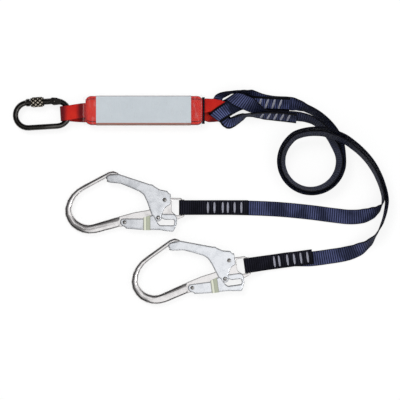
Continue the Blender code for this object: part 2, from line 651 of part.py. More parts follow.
def carabiner(mats):
    """Oval screw-sleeve carabiner on the absorber's near loop."""
    x, y, turn = CARABINER_PLACE
    height = carabiner_height()
    middle = frame("carabiner", (x, y, height), turn)
    hinge = frame("carabiner_gate_pivot", (HINGE_X, OVAL_RADIUS, 0), parent=middle)
    back = (-HINGE_X, -OVAL_RADIUS, 0)
    carabiner_body("carabiner_body", mats["dark_steel"], middle)
    carabiner_gate("carabiner_gate", mats["dark_steel"], hinge)
    cheek = ROD_RADIUS + 0.0008
    head = CARABINER_RIVET_RADIUS * 1.6
    profile = [(0, -cheek - GAP - 0.0006), (head * 0.6, -cheek - GAP - 0.0006), (head, -cheek - GAP),
               (CARABINER_RIVET_RADIUS, -cheek - GAP), (CARABINER_RIVET_RADIUS, cheek + GAP),
               (head, cheek + GAP), (head * 0.6, cheek + GAP + 0.0006), (0, cheek + GAP + 0.0006)]
    rivet = turned(profile, (HINGE_X, OVAL_RADIUS, 0), sides=14)
    piece("carabiner_rivet", rivet, mats["dark_steel"], middle)
    sleeve_start = gate_tip() + GAP
    groove = 0.0011
    edge = 0.0010
    outline = []
    for i in range(SLEEVE_FLUTES * 2):
        radius = SLEEVE_RADIUS if i % 2 else SLEEVE_RADIUS - groove
        outline += arc((0, 0), radius, 360 * (i + 0.15) / (SLEEVE_FLUTES * 2),
                       360 * (i + 0.85) / (SLEEVE_FLUTES * 2), 1)
    sleeve_bm = prism(outline, sleeve_start, sleeve_start + SLEEVE_LENGTH)
    lying = Matrix.Rotation(math.pi / 2, 3, "Y")
    bmesh.ops.rotate(sleeve_bm, verts=sleeve_bm.verts, cent=(0, 0, 0), matrix=lying)
    bmesh.ops.translate(sleeve_bm, verts=sleeve_bm.verts, vec=(0, OVAL_RADIUS, 0))
    sleeve = piece("screw_sleeve", sleeve_bm, mats["sleeve_steel"], hinge, back)
    for low, high in ((sleeve_start, sleeve_start + edge * 3),
                      (sleeve_start + SLEEVE_LENGTH - edge * 3, sleeve_start + SLEEVE_LENGTH)):
        ring = [(SLEEVE_RADIUS - groove, low), (SLEEVE_RADIUS + 0.0020, low), (SLEEVE_RADIUS + 0.0020, high),
                (SLEEVE_RADIUS - groove, high), (SLEEVE_RADIUS - groove, low)]
        combine(sleeve, turned(ring, (0, OVAL_RADIUS, 0), "X", 28))
    combine(sleeve, rod(SLEEVE_BORE, sleeve_start - 0.0100, sleeve_start + SLEEVE_LENGTH * 0.6,
                        (0, OVAL_RADIUS, 0), "X", 24))
    combine(sleeve, rod(GATE_ROD_RADIUS + GAP, sleeve_start - 0.0100, sleeve_start + SLEEVE_LENGTH + 0.0100,
                        (0, OVAL_RADIUS, 0), "X", 24))
    line = OVAL_RADIUS - PLUNGER_OFFSET
    nose = plunger_reach()
    pin = [(0, nose - PLUNGER_LENGTH), (PLUNGER_RADIUS, nose - PLUNGER_LENGTH),
           (PLUNGER_RADIUS, nose - 0.0008), (PLUNGER_RADIUS * 0.5, nose), (0, nose)]
    piece("gate_plunger", turned(pin, (0, line, 0), "X", 12), mats["spring"], hinge, back)
    low = SPRING_START + GAP + PLUNGER_WIRE / 2
    high = nose - PLUNGER_LENGTH - GAP - PLUNGER_WIRE / 2
    mean = PLUNGER_RADIUS - PLUNGER_WIRE / 2
    steps = PLUNGER_COILS * 8
    coil = [Vector((low + (high - low) * i / steps, line + mean * math.cos(math.tau * i / 8),
                    mean * math.sin(math.tau * i / 8))) for i in range(steps + 1)]
    wire("gate_plunger_spring", coil, PLUNGER_WIRE / 2, mats["spring"], hinge, back)


def smooth_route(stations, step=WEB_STEP):
    """Even sections along a strap: middle points, width directions and widths on one smooth curve."""
    spots = [Vector(s[:3]) for s in stations]
    sides = [Vector(s[3:6]).normalized() for s in stations]
    spans = [s[6] if len(s) > 6 else WEB_WIDTH for s in stations]
    middles, widths, spread = [], [], []
    for i in range(len(spots) - 1):
        a, b = spots[max(i - 1, 0)], spots[i]
        c, d = spots[i + 1], spots[min(i + 2, len(spots) - 1)]
        length = (c - b).length
        # Tangents scaled to the uneven spacing of the hand-set stations
        start = ((b - a) / max((b - a).length, 1e-6) + (c - b) / length).normalized() * length
        end = ((c - b) / length + (d - c) / max((d - c).length, 1e-6)).normalized() * length
        count = max(1, round(length / step))
        for k in range(count):
            t = k / count
            middles.append((2 * t**3 - 3 * t**2 + 1) * b + (t**3 - 2 * t**2 + t) * start
                           + (3 * t**2 - 2 * t**3) * c + (t**3 - t**2) * end)
            ease = t * t * (3 - 2 * t)
            widths.append(sides[i].lerp(sides[i + 1], ease).normalized())
            spread.append(spans[i] + (spans[i + 1] - spans[i]) * ease)
    middles.append(spots[-1])
    widths.append(sides[-1])
    spread.append(spans[-1])
    # Nothing sinks into the table
    for middle, side, span in zip(middles, widths, spread):
        tilt = min(1.0, abs(side.z))
        lowest = tilt * span / 2 + math.sqrt(1 - tilt * tilt) * WEB_THICK / 2 + GAP
        middle.z = max(middle.z, lowest)
    return middles, widths, spread


def ribbon_rings(middles, widths, spread):
    """Rectangular sections of a strap, each along its own width direction."""
    rings = []
    for i, spot in enumerate(middles):
        ahead = (middles[min(i + 1, len(middles) - 1)] - middles[max(i - 1, 0)]).normalized()
        side = widths[i]
        face = ahead.cross(side).normalized()
        half = side * spread[i] / 2
        rise = face * WEB_THICK / 2
        rings.append([spot + half + rise, spot + rise, spot - half + rise, spot - half - rise, spot - rise,
                      spot + half - rise])
    return rings


def ribbon(name, stations, mat, step=WEB_STEP):
    """Flat woven strap along its stations."""
    return piece(name, loft(ribbon_rings(*smooth_route(stations, step))), mat, smooth_angle=60)


def bight(centre, radius, start, end, count, side):
    """Stations where a strap goes round a bar that lies along the side direction, angles in degrees."""
    side = Vector(side).normalized()
    out = side.cross(UP)
    stations = []
    for i in range(count + 1):
        turn = math.radians(start + (end - start) * i / count)
        spot = Vector(centre) + out * radius * math.cos(turn) + UP * radius * math.sin(turn)
        stations.append((*spot, *side))
    return stations


def hook_height():
    """Height of the hooks' middle plane, lying on the heads of their rivets."""
    return gate_layers()[3] + GAP * 2 + HOOK_HEAD_HEIGHT


def hook_eye(name):
    """End of a leg: out to the hook's eye bar, round it and back to the cut tail on top."""
    x, y, turn = HOOK_PLACES[name]
    along = Vector((math.cos(turn), math.sin(turn), 0))
    side = Vector((-math.sin(turn), math.cos(turn), 0))
    height = hook_height()
    radius = HOOK_BAR_RADIUS + GAP + WEB_THICK / 2
    top = FLAT_Z + WEB_THICK + PLY_GAP
    eye = Vector((x, y, 0))

    def at(distance, level):
        return (*(eye + along * distance + UP * level), *side)

    stations = [at(0.0850, FLAT_Z), at(0.0500, FLAT_Z), at(0.0280, FLAT_Z + 0.0001),
                at(0.0140, height - radius - 0.0008)]
    stations += bight(eye + UP * height, radius, -90, -270, 8, side)
    stations += [at(0.0140, height + radius - 0.0014), at(0.0280, top + 0.0012), at(0.0420, top),
                 at(0.0700, top), at(SEWN_LENGTH, top)]
    return stations


def shared_turn(name):
    """The leg's loose turn, clockwise from its right side until just before it climbs over itself."""
    stations = []
    for i in range(14):
        degrees = 8 - i * 19
        turn = math.radians(degrees)
        spot = TURN_CENTRE + Vector((math.cos(turn), math.sin(turn))) * TURN_RADII[name]
        climb = max(0.0, (-degrees - 170) / 69)
        lean = 0.35 * math.cos(turn)
        outward = 0.30 * math.sin(turn)
        stations.append((spot.x, spot.y, EDGE_Z + 0.0160 * climb**1.5, lean, outward, 0.94))
    return stations


# Upper leg, from its cut tail through the absorber's far loop to the loose turn:
# place of the strap's middle line and direction of its width
UPPER_LEG_START = [
    (0.2755, 0.0118, 0.0113, 0.05, 0.85, 0.50),
    (0.2384, 0.0132, 0.0114, 0.03, 0.86, 0.50),
    (0.2120, 0.0142, 0.0118, 0.00, 0.88, 0.46),
    (0.1950, 0.0150, 0.0132, -0.12, 0.94, 0.30),
    (0.1820, 0.0146, 0.0152, -0.36, 0.92, 0.08),
    (0.1681, 0.0087, 0.0164, -0.53, 0.85, 0.00),
    (0.1529, -0.0004, 0.0166, -0.58, 0.81, 0.00),
    (0.1440, -0.0062, 0.0166, -0.68, 0.73, 0.00),
    (0.1371, -0.0108, 0.0168, -0.77, 0.63, 0.00),
    (0.1345, -0.0135, 0.0159, -0.81, 0.58, 0.00),
    (0.1338, -0.0146, 0.0130, -0.81, 0.58, 0.00),
    (0.1344, -0.0137, 0.0103, -0.84, 0.54, 0.00),
    (0.1358, -0.0106, 0.0094, -0.93, 0.37, 0.00),
    (0.1372, -0.0040, 0.0094, -0.99, 0.18, 0.00, 0.0265),
    (0.1388, 0.0080, 0.0094, -0.99, 0.10, 0.00, 0.0235),
    (0.1380, 0.0180, 0.0100, -0.99, 0.00, 0.02, 0.0190),
    (0.1394, 0.0224, 0.0100, -0.98, 0.04, 0.06, 0.0180),
    (0.1418, 0.0262, 0.0104, -0.86, 0.20, 0.40, 0.0180),
    (0.1468, 0.0290, 0.0118, -0.55, 0.30, 0.78, 0.0200),
    (0.1550, 0.0318, 0.0134, -0.24, 0.20, 0.95, 0.0240),
    (0.1650, 0.0343, 0.0147, -0.04, 0.06, 0.99, 0.0270),
    (0.1780, 0.0352, 0.0148, 0.03, 0.08, 0.99),
    (0.1910, 0.0335, 0.0146, 0.06, 0.25, 0.96),
    (0.2050, 0.0288, 0.0122, 0.08, 0.62, 0.78),
    (0.2200, 0.0212, 0.0094, 0.05, 0.80, 0.60),
    (0.2400, 0.0160, 0.0086, 0.03, 0.86, 0.51),
    (0.2790, 0.0131, 0.0086, 0.05, 0.85, 0.52),
    (0.2935, 0.0096, 0.0108, 0.12, 0.62, 0.78),
    (0.3068, 0.0042, 0.0136, 0.16, 0.38, 0.91),
    (0.3240, -0.0046, 0.0146, 0.24, 0.30, 0.92),
    (0.3411, -0.0177, 0.0146, 0.30, 0.25, 0.92),
    (0.3563, -0.0342, 0.0146, 0.33, 0.20, 0.92),
    (0.3690, -0.0560, 0.0146, 0.35, 0.12, 0.93),
]
# The same leg from the climb over itself to the last bend before its hook
UPPER_LEG_END = [
    (0.3334, -0.0370, 0.0410, 0.05, 0.28, 0.96),
    (0.3543, -0.0425, 0.0445, 0.08, 0.25, 0.96),
    (0.3752, -0.0507, 0.0444, 0.10, 0.20, 0.97),
    (0.3942, -0.0631, 0.0395, 0.12, 0.15, 0.98),
    (0.4133, -0.0788, 0.0320, 0.12, 0.10, 0.99),
    (0.4303, -0.0978, 0.0250, 0.12, 0.06, 0.99),
    (0.4446, -0.1216, 0.0185, 0.10, 0.03, 0.99),
    (0.4541, -0.1463, 0.0150, 0.08, 0.02, 0.99),
    (0.4585, -0.1672, 0.0146, 0.06, 0.00, 0.99),
    (0.4573, -0.1843, 0.0146, 0.04, 0.00, 0.99),
    (0.4503, -0.2109, 0.0146, 0.00, 0.05, 0.99),
    (0.4389, -0.2337, 0.0144, -0.10, 0.15, 0.98),
    (0.4246, -0.2508, 0.0130, -0.30, 0.45, 0.84),
    (0.4037, -0.2640, 0.0075, -0.35, 0.80, 0.45),
    (0.3810, -0.2713, 0.0030, -0.28, 0.95, 0.12),
    (0.3524, -0.2762, 0.0016, -0.18, 0.98, 0.00),
    (0.3145, -0.2810, 0.0016, -0.12, 0.99, 0.00),
]
# Lower leg, likewise
LOWER_LEG_START = [
    (0.2879, -0.0152, 0.0142, 0.00, 0.55, 0.83),
    (0.2575, -0.0116, 0.0144, 0.00, 0.55, 0.83),
    (0.2290, -0.0098, 0.0151, 0.00, 0.46, 0.89),
    (0.2160, -0.0090, 0.0150, 0.00, 0.30, 0.95),
    (0.2040, -0.0085, 0.0150, 0.00, 0.15, 0.98),
    (0.1929, -0.0090, 0.0150, -0.05, 0.12, 0.99),
    (0.1852, -0.0122, 0.0146, -0.10, 0.38, 0.92),
    (0.1777, -0.0162, 0.0128, -0.05, 0.56, 0.83),
    (0.1710, -0.0200, 0.0106, 0.07, 0.73, 0.68, 0.0275),
    (0.1650, -0.0225, 0.0082, 0.17, 0.84, 0.50, 0.0265),
    (0.1600, -0.0228, 0.0066, 0.38, 0.88, 0.28, 0.0240),
    (0.1560, -0.0208, 0.0056, 0.63, 0.77, 0.10, 0.0225),
    (0.1530, -0.0168, 0.0052, 0.83, 0.55, 0.02, 0.0220),
    (0.1510, -0.0110, 0.0052, 0.96, 0.25, 0.00, 0.0225),
    (0.1508, -0.0030, 0.0052, 1.00, -0.02, 0.00, 0.0235),
    (0.1528, 0.0080, 0.0052, 0.98, -0.18, 0.00, 0.0225),
    (0.1556, 0.0160, 0.0054, 0.97, -0.10, 0.00, 0.0215),
    (0.1578, 0.0205, 0.0064, 0.94, 0.16, 0.00, 0.0212),
    (0.1600, 0.0238, 0.0096, 0.88, 0.42, 0.00, 0.0212),
    (0.1618, 0.0257, 0.0140, 0.83, 0.55, 0.00, 0.0215),
    (0.1646, 0.0257, 0.0186, 0.80, 0.60, 0.00, 0.0230),
    (0.1700, 0.0236, 0.0207, 0.73, 0.68, 0.00, 0.0255),
    (0.1775, 0.0205, 0.0212, 0.66, 0.75, 0.02),
    (0.1860, 0.0168, 0.0212, 0.60, 0.79, 0.08),
    (0.1960, 0.0125, 0.0208, 0.50, 0.83, 0.20),
    (0.2060, 0.0076, 0.0184, 0.30, 0.82, 0.48),
    (0.2160, 0.0020, 0.0158, 0.10, 0.64, 0.76),
    (0.2290, -0.0055, 0.0140, 0.00, 0.46, 0.89),
    (0.2575, -0.0086, 0.0126, 0.00, 0.55, 0.83),
    (0.2905, -0.0110, 0.0130, 0.03, 0.54, 0.84),
    (0.3068, -0.0142, 0.0138, 0.10, 0.46, 0.88),
    (0.3221, -0.0204, 0.0146, 0.18, 0.36, 0.91),
    (0.3363, -0.0310, 0.0146, 0.26, 0.30, 0.92),
    (0.3480, -0.0450, 0.0146, 0.33, 0.22, 0.92),
    (0.3580, -0.0620, 0.0146, 0.36, 0.12, 0.93),
]
LOWER_LEG_END = [
    (0.3334, -0.0445, 0.0410, 0.05, 0.28, 0.96),
    (0.3524, -0.0500, 0.0445, 0.08, 0.25, 0.96),
    (0.3724, -0.0574, 0.0444, 0.10, 0.20, 0.97),
    (0.3904, -0.0692, 0.0395, 0.12, 0.15, 0.98),
    (0.4085, -0.0838, 0.0320, 0.12, 0.10, 0.99),
    (0.4252, -0.1023, 0.0250, 0.12, 0.06, 0.99),
    (0.4391, -0.1248, 0.0185, 0.10, 0.03, 0.99),
    (0.4486, -0.1492, 0.0150, 0.06, 0.02, 0.99),
    (0.4517, -0.1663, 0.0146, 0.02, 0.00, 0.99),
    (0.4495, -0.1777, 0.0140, -0.05, 0.15, 0.98),
    (0.4420, -0.1871, 0.0122, -0.20, 0.45, 0.87),
    (0.4303, -0.1942, 0.0085, -0.25, 0.75, 0.60),
    (0.4133, -0.1997, 0.0040, -0.15, 0.95, 0.25),
    (0.3904, -0.2014, 0.0020, 0.00, 0.99, 0.08),
    (0.3619, -0.1986, 0.0016, 0.08, 0.99, 0.00),
    (0.3145, -0.1925, 0.0016, 0.09, 0.99, 0.00),
    (0.2479, -0.1864, 0.0016, 0.05, 0.99, 0.00),
]


def leg_stations(start, end, name):
    """A whole leg: sewn eye at the absorber, loose turn, sewn eye at its hook."""
    return start + shared_turn(name) + end + hook_eye(name)


def self_gap(middles, widths, spread, apart=0.040):
    """Least distance between a strap and its own far-off parts, and the strap's length."""
    places = [0.0]
    for a, b in zip(middles, middles[1:]):
        places.append(places[-1] + (b - a).length)
    rows = []
    for middle, side, span in zip(middles, widths, spread):
        rows.append([middle + side * span * share / 8 for share in range(-4, 5)])
    least = 1.0
    for i, row in enumerate(rows):
        for j in range(i + 1, len(rows)):
            if places[j] - places[i] > apart and (middles[i] - middles[j]).length < WEB_WIDTH * 1.5:
                least = min(least, min((p - q).length for p in row for q in rows[j]))
    return least - WEB_THICK, places[-1]


def near_loop(mat):
    """Absorber's strap loop that holds the carabiner."""
    height = carabiner_height()
    rise = LOOP_CAVITY + WEB_THICK / 2
    low, top = height - rise, height + rise
    start = -PACK_LENGTH / 2 + LOOP_SEAT - GAP
    end = -PACK_LENGTH / 2
    turn = CARABINER_PLACE[2]
    across = (-math.sin(turn), math.cos(turn), 0.0)
    side = (0.0, 1.0, 0.0)
    middle = CARABINER_PLACE[1] + OVAL_HALF_STRAIGHT * math.sin(turn)
    upper, lower = NEAR_PLIES
    above, below = PACK_MIDDLE + LOOP_LEVEL, PACK_MIDDLE - LOOP_LEVEL
    stations = [(start, upper, above, *side), (end, upper, above, *side),
                (end - 0.0070, -0.0004, above + 0.0006, *side),
                (-0.1270, -0.0022, top - 0.0008, *side), (-0.1365, -0.0040, top, *across)]
    stations += bight((LOOP_BIGHT_X, middle, height), rise, 90, 270, 10, across)
    stations += [(-0.1365, -0.0064, low, *across), (-0.1270, -0.0072, low + 0.0008, *side),
                 (end - 0.0070, lower, below - 0.0006, *side), (end, lower, below, *side),
                 (start, lower, below, *side)]
    return ribbon("near_loop", stations, mat, step=LOOP_STEP)


# Far loop: along X, across Y, height above its lower ply as a share of its rise, strap's spread
FAR_LOOP_UPPER = [
    (0.1240, 0.0098, 0.97, 0.0254), (0.1339, 0.0064, 1.00, 0.0312), (0.1450, 0.0028, 1.00, 0.0340),
    (0.1530, 0.0016, 1.00, 0.0306), (0.1600, 0.0038, 1.00, 0.0246),
]
FAR_LOOP_LOWER = [
    (0.1600, 0.0050, 0.00, 0.0270), (0.1530, 0.0020, 0.00, 0.0330), (0.1450, -0.0008, 0.00, 0.0380),
    (0.1339, -0.0022, 0.00, 0.0370), (0.1240, -0.0044, 0.10, 0.0340),
]


def far_loop(mat):
    """Absorber's strap loop that the two legs are threaded through."""
    start = PACK_LENGTH / 2 - LOOP_SEAT + GAP
    end = PACK_LENGTH / 2
    upper, lower = FAR_PLIES
    level = FAR_LOOP_LEVEL
    side = (0.0, 1.0, 0.0)
    stations = [(start, upper, PACK_MIDDLE + level, *side, WEB_WIDTH),
                (end + 0.0040, upper, PACK_MIDDLE + level, *side, WEB_WIDTH)]
    stations += [(x, y, FLAT_Z + share * FAR_LOOP_RISE, *side, span) for x, y, share, span in FAR_LOOP_UPPER]
    bend = FAR_LOOP_RISE / 2
    turn = bight((FAR_LOOP_BIGHT_X, FAR_LOOP_BIGHT_Y, FLAT_Z + bend), bend, 90, -90, 8, side)
    stations += [(*spot, FAR_LOOP_WIDTH) for spot in turn]
    stations += [(x, y, FLAT_Z + share * FAR_LOOP_RISE, *side, span) for x, y, share, span in FAR_LOOP_LOWER]
    stations += [(end + 0.0040, lower, PACK_MIDDLE - level, *side, WEB_WIDTH),
                 (start, lower, PACK_MIDDLE - level, *side, WEB_WIDTH)]
    return ribbon("far_loop", stations, mat, step=LOOP_STEP)


def carabiner_height():
    """Height of the carabiner's middle plane inside the near loop."""
    return LOOP_CAVITY + WEB_THICK + GAP


def side_outline(half_width, half_thick, radius):
    """Rounded section of the absorber across its length."""
    return rounded([(-half_width, -half_thick, radius), (half_width, -half_thick, radius),
                    (half_width, half_thick, radius), (-half_width, half_thick, radius)], 4)


def absorber_tube(stations, radius):
    """Loft of rounded sections along X: each station is (x, half width, half thickness)."""
    rings = []
    for x, half_width, half_thick in stations:
        outline = side_outline(half_width, half_thick, radius)
        rings.append([Vector((x, y, PACK_MIDDLE + z)) for y, z in outline])
    return loft(rings)


def absorber(mats):
    """Folded tear webbing with its loops, wrap-round label and clear shrink sleeve."""
    half_width, half_thick = PACK_WIDTH / 2, PACK_THICK / 2
    end = PACK_LENGTH / 2
    taper = 0.0040
    stations = [
        (-end, half_width - taper, half_thick - taper),
        (-end + taper, half_width - taper / 2, half_thick - 0.001),
        (-end + 3 * taper, half_width, half_thick), (end - 3 * taper, half_width, half_thick),
        (end - taper, half_width - taper / 2, half_thick - 0.001),
        (end, half_width - taper, half_thick - taper),
    ]
    pack = piece("tear_webbing_pack", absorber_tube(stations, 0.0050), mats["red_webbing"])
    for row in (-3, -1, 0, 1, 3):
        level = PACK_MIDDLE + row * (WEB_THICK + GAP)
        for end_x in (-end, end):
            combine(pack, slab((end_x - FOLD_DEPTH, -half_width, level - GAP),
                               (end_x + FOLD_DEPTH, half_width, level + GAP)))
    pockets = [(-1, NEAR_PLIES[0], LOOP_LEVEL), (-1, NEAR_PLIES[1], -LOOP_LEVEL),
               (1, FAR_PLIES[0], FAR_LOOP_LEVEL), (1, FAR_PLIES[1], -FAR_LOOP_LEVEL)]
    half = WEB_WIDTH / 2 + GAP
    thick = WEB_THICK / 2 + GAP
    for way, y, level in pockets:
        low_x, high_x = sorted((way * (end - LOOP_SEAT), way * (end + LOOP_SEAT)))
        combine(pack, slab((low_x, y - half, PACK_MIDDLE + level - thick),
                           (high_x, y + half, PACK_MIDDLE + level + thick)))
    middle = -0.0009
    reach = LABEL_LENGTH / 2
    inner = GAP
    outer = GAP + LABEL_THICK
    outside = absorber_tube([(middle - reach, half_width + outer, half_thick + outer),
                             (middle + reach, half_width + outer, half_thick + outer)], 0.0054)
    label = piece("label_wrap", outside, mats["label"])
    combine(label, absorber_tube([(middle - reach * 2, half_width + inner, half_thick + inner),
                                  (middle + reach * 2, half_width + inner, half_thick + inner)], 0.0050))
    wall_in = outer + GAP
    wall_out = wall_in + SHRINK_WALL
    tip = SHRINK_LENGTH / 2

    def shell(grow):
        end = tip + (0 if grow == wall_out else 0.002)
        wide = half_width + grow
        deep = half_thick + grow
        return absorber_tube([(-end, wide - taper * 1.2, deep - 0.0012),
                              (-tip + 0.0055, wide - taper * 0.3, deep - 0.0003),
                              (-tip + 0.0110, wide, deep),
                              (tip - 0.0110, wide, deep),
                              (tip - 0.0050, wide - 0.0010, deep - 0.0006),
                              (end, wide + 0.0004, deep)], 0.0056)

    sleeve = piece("clear_shrink_sleeve", shell(wall_out), mats["clear"])
    combine(sleeve, shell(wall_in))
    near_loop(mats["red_webbing"])
    far_loop(mats["red_webbing"])



def main():
    clear_scene()
    mats = {
        "forging": finish("forged_steel", (0.62, 0.61, 0.60), 0.30, 1.0),
        "plate": finish("zinc_plated_sheet", (0.80, 0.81, 0.83), 0.32, 1.0),
        "rivet": finish("rivet_steel", (0.50, 0.50, 0.50), 0.35, 1.0),
        "spring": finish("spring_steel", (0.42, 0.42, 0.43), 0.30, 1.0),
        "band": finish("olive_band", (0.62, 0.64, 0.50), 0.55),
        "dark_steel": finish("dark_polished_steel", (0.25, 0.25, 0.26), 0.22, 1.0),
        "sleeve_steel": finish("knurled_steel", (0.42, 0.40, 0.36), 0.40, 1.0),
        "red_webbing": finish("red_webbing", (0.80, 0.12, 0.09), 0.75),
        "navy_webbing": finish("navy_webbing", (0.05, 0.06, 0.12), 0.80),
        "label": finish("pale_label", (0.80, 0.83, 0.84), 0.55),
        "clear": finish("clear_shrink_film", (0.85, 0.85, 0.86), 0.12, 0.0, 0.25),
    }
    absorber(mats)
    carabiner(mats)
    hook("hook_1", mats)
    hook("hook_2", mats)
    legs = {
        "upper_leg": leg_stations(UPPER_LEG_START, UPPER_LEG_END, "hook_2"),
        "lower_leg": leg_stations(LOWER_LEG_START, LOWER_LEG_END, "hook_1"),
    }
    for name, stations in legs.items():
        ribbon(name, stations, mats["navy_webbing"])
        gap, length = self_gap(*smooth_route(stations))
        print(f"{name}: {length:.3f} m of webbing, least gap to itself {gap * 1000:.2f} mm")


main()
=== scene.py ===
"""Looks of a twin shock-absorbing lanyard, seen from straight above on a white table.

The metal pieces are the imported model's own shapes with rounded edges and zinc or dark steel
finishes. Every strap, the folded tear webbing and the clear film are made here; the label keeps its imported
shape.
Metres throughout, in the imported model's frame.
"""
import json
import math

import bmesh
import bpy
from mathutils import Matrix, Vector, noise

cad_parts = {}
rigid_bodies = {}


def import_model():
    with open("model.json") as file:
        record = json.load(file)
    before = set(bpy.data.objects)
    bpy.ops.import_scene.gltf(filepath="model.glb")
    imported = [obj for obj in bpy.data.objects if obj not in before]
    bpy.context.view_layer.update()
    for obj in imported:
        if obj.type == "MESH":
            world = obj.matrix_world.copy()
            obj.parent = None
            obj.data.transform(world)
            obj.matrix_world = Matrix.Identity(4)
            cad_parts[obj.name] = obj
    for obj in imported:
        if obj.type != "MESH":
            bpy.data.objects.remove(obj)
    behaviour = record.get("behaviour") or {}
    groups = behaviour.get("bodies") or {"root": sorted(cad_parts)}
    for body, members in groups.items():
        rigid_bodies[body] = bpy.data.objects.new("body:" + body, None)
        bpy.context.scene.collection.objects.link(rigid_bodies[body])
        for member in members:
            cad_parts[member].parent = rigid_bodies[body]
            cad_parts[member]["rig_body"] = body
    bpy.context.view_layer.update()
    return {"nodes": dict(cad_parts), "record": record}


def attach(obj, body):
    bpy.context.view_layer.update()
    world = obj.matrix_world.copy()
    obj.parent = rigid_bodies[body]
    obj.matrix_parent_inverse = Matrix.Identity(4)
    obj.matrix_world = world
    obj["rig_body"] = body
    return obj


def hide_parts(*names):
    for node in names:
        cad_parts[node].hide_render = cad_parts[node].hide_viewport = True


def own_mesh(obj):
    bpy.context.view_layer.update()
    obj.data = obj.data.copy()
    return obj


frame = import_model()

UP = Vector((0, 0, 1))
GAP = 0.0003                  # clearance between pieces

# Camera straight above, and what lights the lanyard
CAMERA_PLACE = (0.10545, -0.1691, 2.6)
SEEN_WIDTH = 0.76
SENSOR_WIDTH = 36
CARDS_MIDDLE = (0.1, -0.17)
CARD_SIDE = Vector((-0.80, 0.60, 0))   # side of the table that the grey cards stand on
LAMPS_AIM = Vector((0.1, -0.15, 0))
ROOM_ON_MATT = 0.62           # share of the room's white that lights matt faces
WHITE = (0.95, 0.95, 0.95)
TABLE_GLOW = 0.82             # what the camera sees of the table is mostly its own light
TABLE_SHADE = (0.20, 0.20, 0.20)

# Webbing
WEB_WIDTH = 0.028
WEB_THICK = 0.0025
PLY_GAP = 0.0005
SEWN_LENGTH = 0.1245          # cut tail to eye bar at a hook
FLAT_Z = 0.0016               # middle of a strap that lies flat
EDGE_Z = 0.0146               # middle of a strap that stands on edge
STRAP_STEP = 0.0032           # spacing of the sections along a strap
RIB_PITCH = 0.0042
RED_RIB_PITCH = 0.0022
RIBBED_REACH = 0.0125         # ribs end this far from the middle line, where the woven edge starts
THREAD_PITCH = 0.0011         # threads side by side across a strap

# Loose turn on the table that both legs share
TURN_CENTRE = Vector((0.3154, -0.0956))
TURN_RADII = {"hook_2": 0.0596, "hook_1": 0.0536}
TURN_STATIONS, TURN_START, TURN_STEP = 14, 8, 19   # how many, and their degrees

# Scaffold hooks: where the bar of each eye lies, and how far the hook is turned
HOOK_PLACES = {
    "hook_1": (0.0722, -0.1834, 0.0),
    "hook_2": (0.1956, -0.2930, math.radians(7.7)),
}
HOOK_HEIGHT = 0.0090
HOOK_BAR_RADIUS = 0.0039
BAND_START = -0.0743          # inspection band, from the bar of the eye
BAND_LENGTH = 0.0139

# Carabiner
CARABINER_PLACE = (-0.1928, -0.0072, math.radians(3.5))
CARABINER_HEIGHT = 0.0122
OVAL_HALF_STRAIGHT = 0.0270
OVAL_RADIUS = 0.02375
SLEEVE_RADIUS = 0.0095
KNURL_PITCH = 0.0084
KNURL_SHIFT = 0.0079          # from the oval's middle to the middle of the knurled band
KNURL_REACH = (0.0102, 0.0107)   # where the knurl starts to fade and has gone, from its middle

# Energy absorber
PACK_LENGTH = 0.218
PACK_WIDTH = 0.0544
PACK_THICK = 0.0200
PACK_PLIES = 6
PLY_FOLD = 0.0213             # fold line on its top, from the middle
PACK_ROUNDING = 0.0035
LABEL_THICK = 0.0004
LABEL_STRIP = (-0.0241, -0.0236)   # soft edge of the strip along one side
LABEL_SHADE_LINE = 0.0270            # painted shade line where the label turns down at both sides, from the middle
SHRINK_LENGTH = 0.230
SHRINK_WALL = 0.0010
FILM_ROUNDING = 0.0052
FILM_WALL = 0.0005
FILM_LOWEST = 0.00045         # middle of its wall, so that it lies on the table
FILM_PULL = 0.0062            # how far the film has drawn back at its far end
SHADE_BAND = (0.1118, 0.0245, 0.0078)   # dark band at the far end, painted shade at the pack's end: place, half width, half thickness
SHADE_BAND_HALF = 0.0025          # half its length along the pack
SHADE_BAND_WALL = 0.0007
PACK_MIDDLE = PACK_THICK / 2 + GAP * 2 + LABEL_THICK + SHRINK_WALL
LOOP_CAVITY = 0.0094
LOOP_BIGHT_X = -0.1470
LOOP_SEAT = 0.0050
LOOP_LEVEL = 0.0053
NEAR_PLIES = (0.0, -0.0078)
FAR_LOOP_LEVEL = 0.0042
FAR_PLIES = (0.0084, -0.0052)
FAR_LOOP_WIDTH = 0.0220
FAR_LOOP_BIGHT = (0.1645, 0.0055)
FAR_LOOP_RISE = 0.0120

# Last station of each leg's sewn tail at the absorber, and the one halfway round its hook's bar
TAIL_STATION = 14
BAR_STATION = 8

# Bar tacks: size, slant at the absorber, and distances from the cut tail
TACK_SPAN = 0.37              # half length as a share of the strap's width
TACK_HALF = 0.0021
TACK_RISE = 0.0007
TACK_SINK = 0.0003
TACK_BLUNT = 1.12
TACK_SLANT = math.radians(14)
STITCH_PITCH = 0.0007
HOOK_TACKS = {"hook_1": (0.0105, 0.0225, 0.0353, 0.0475, 0.0612, 0.0734),
              "hook_2": (0.0080, 0.0210, 0.0340, 0.0480, 0.0610, 0.0730)}
ABSORBER_TACKS = {"upper_leg": (0.0160, 0.0285, 0.0420, 0.0550, 0.0690),
                  "lower_leg": (0.0135, 0.0250, 0.0385, 0.0520, 0.0650)}

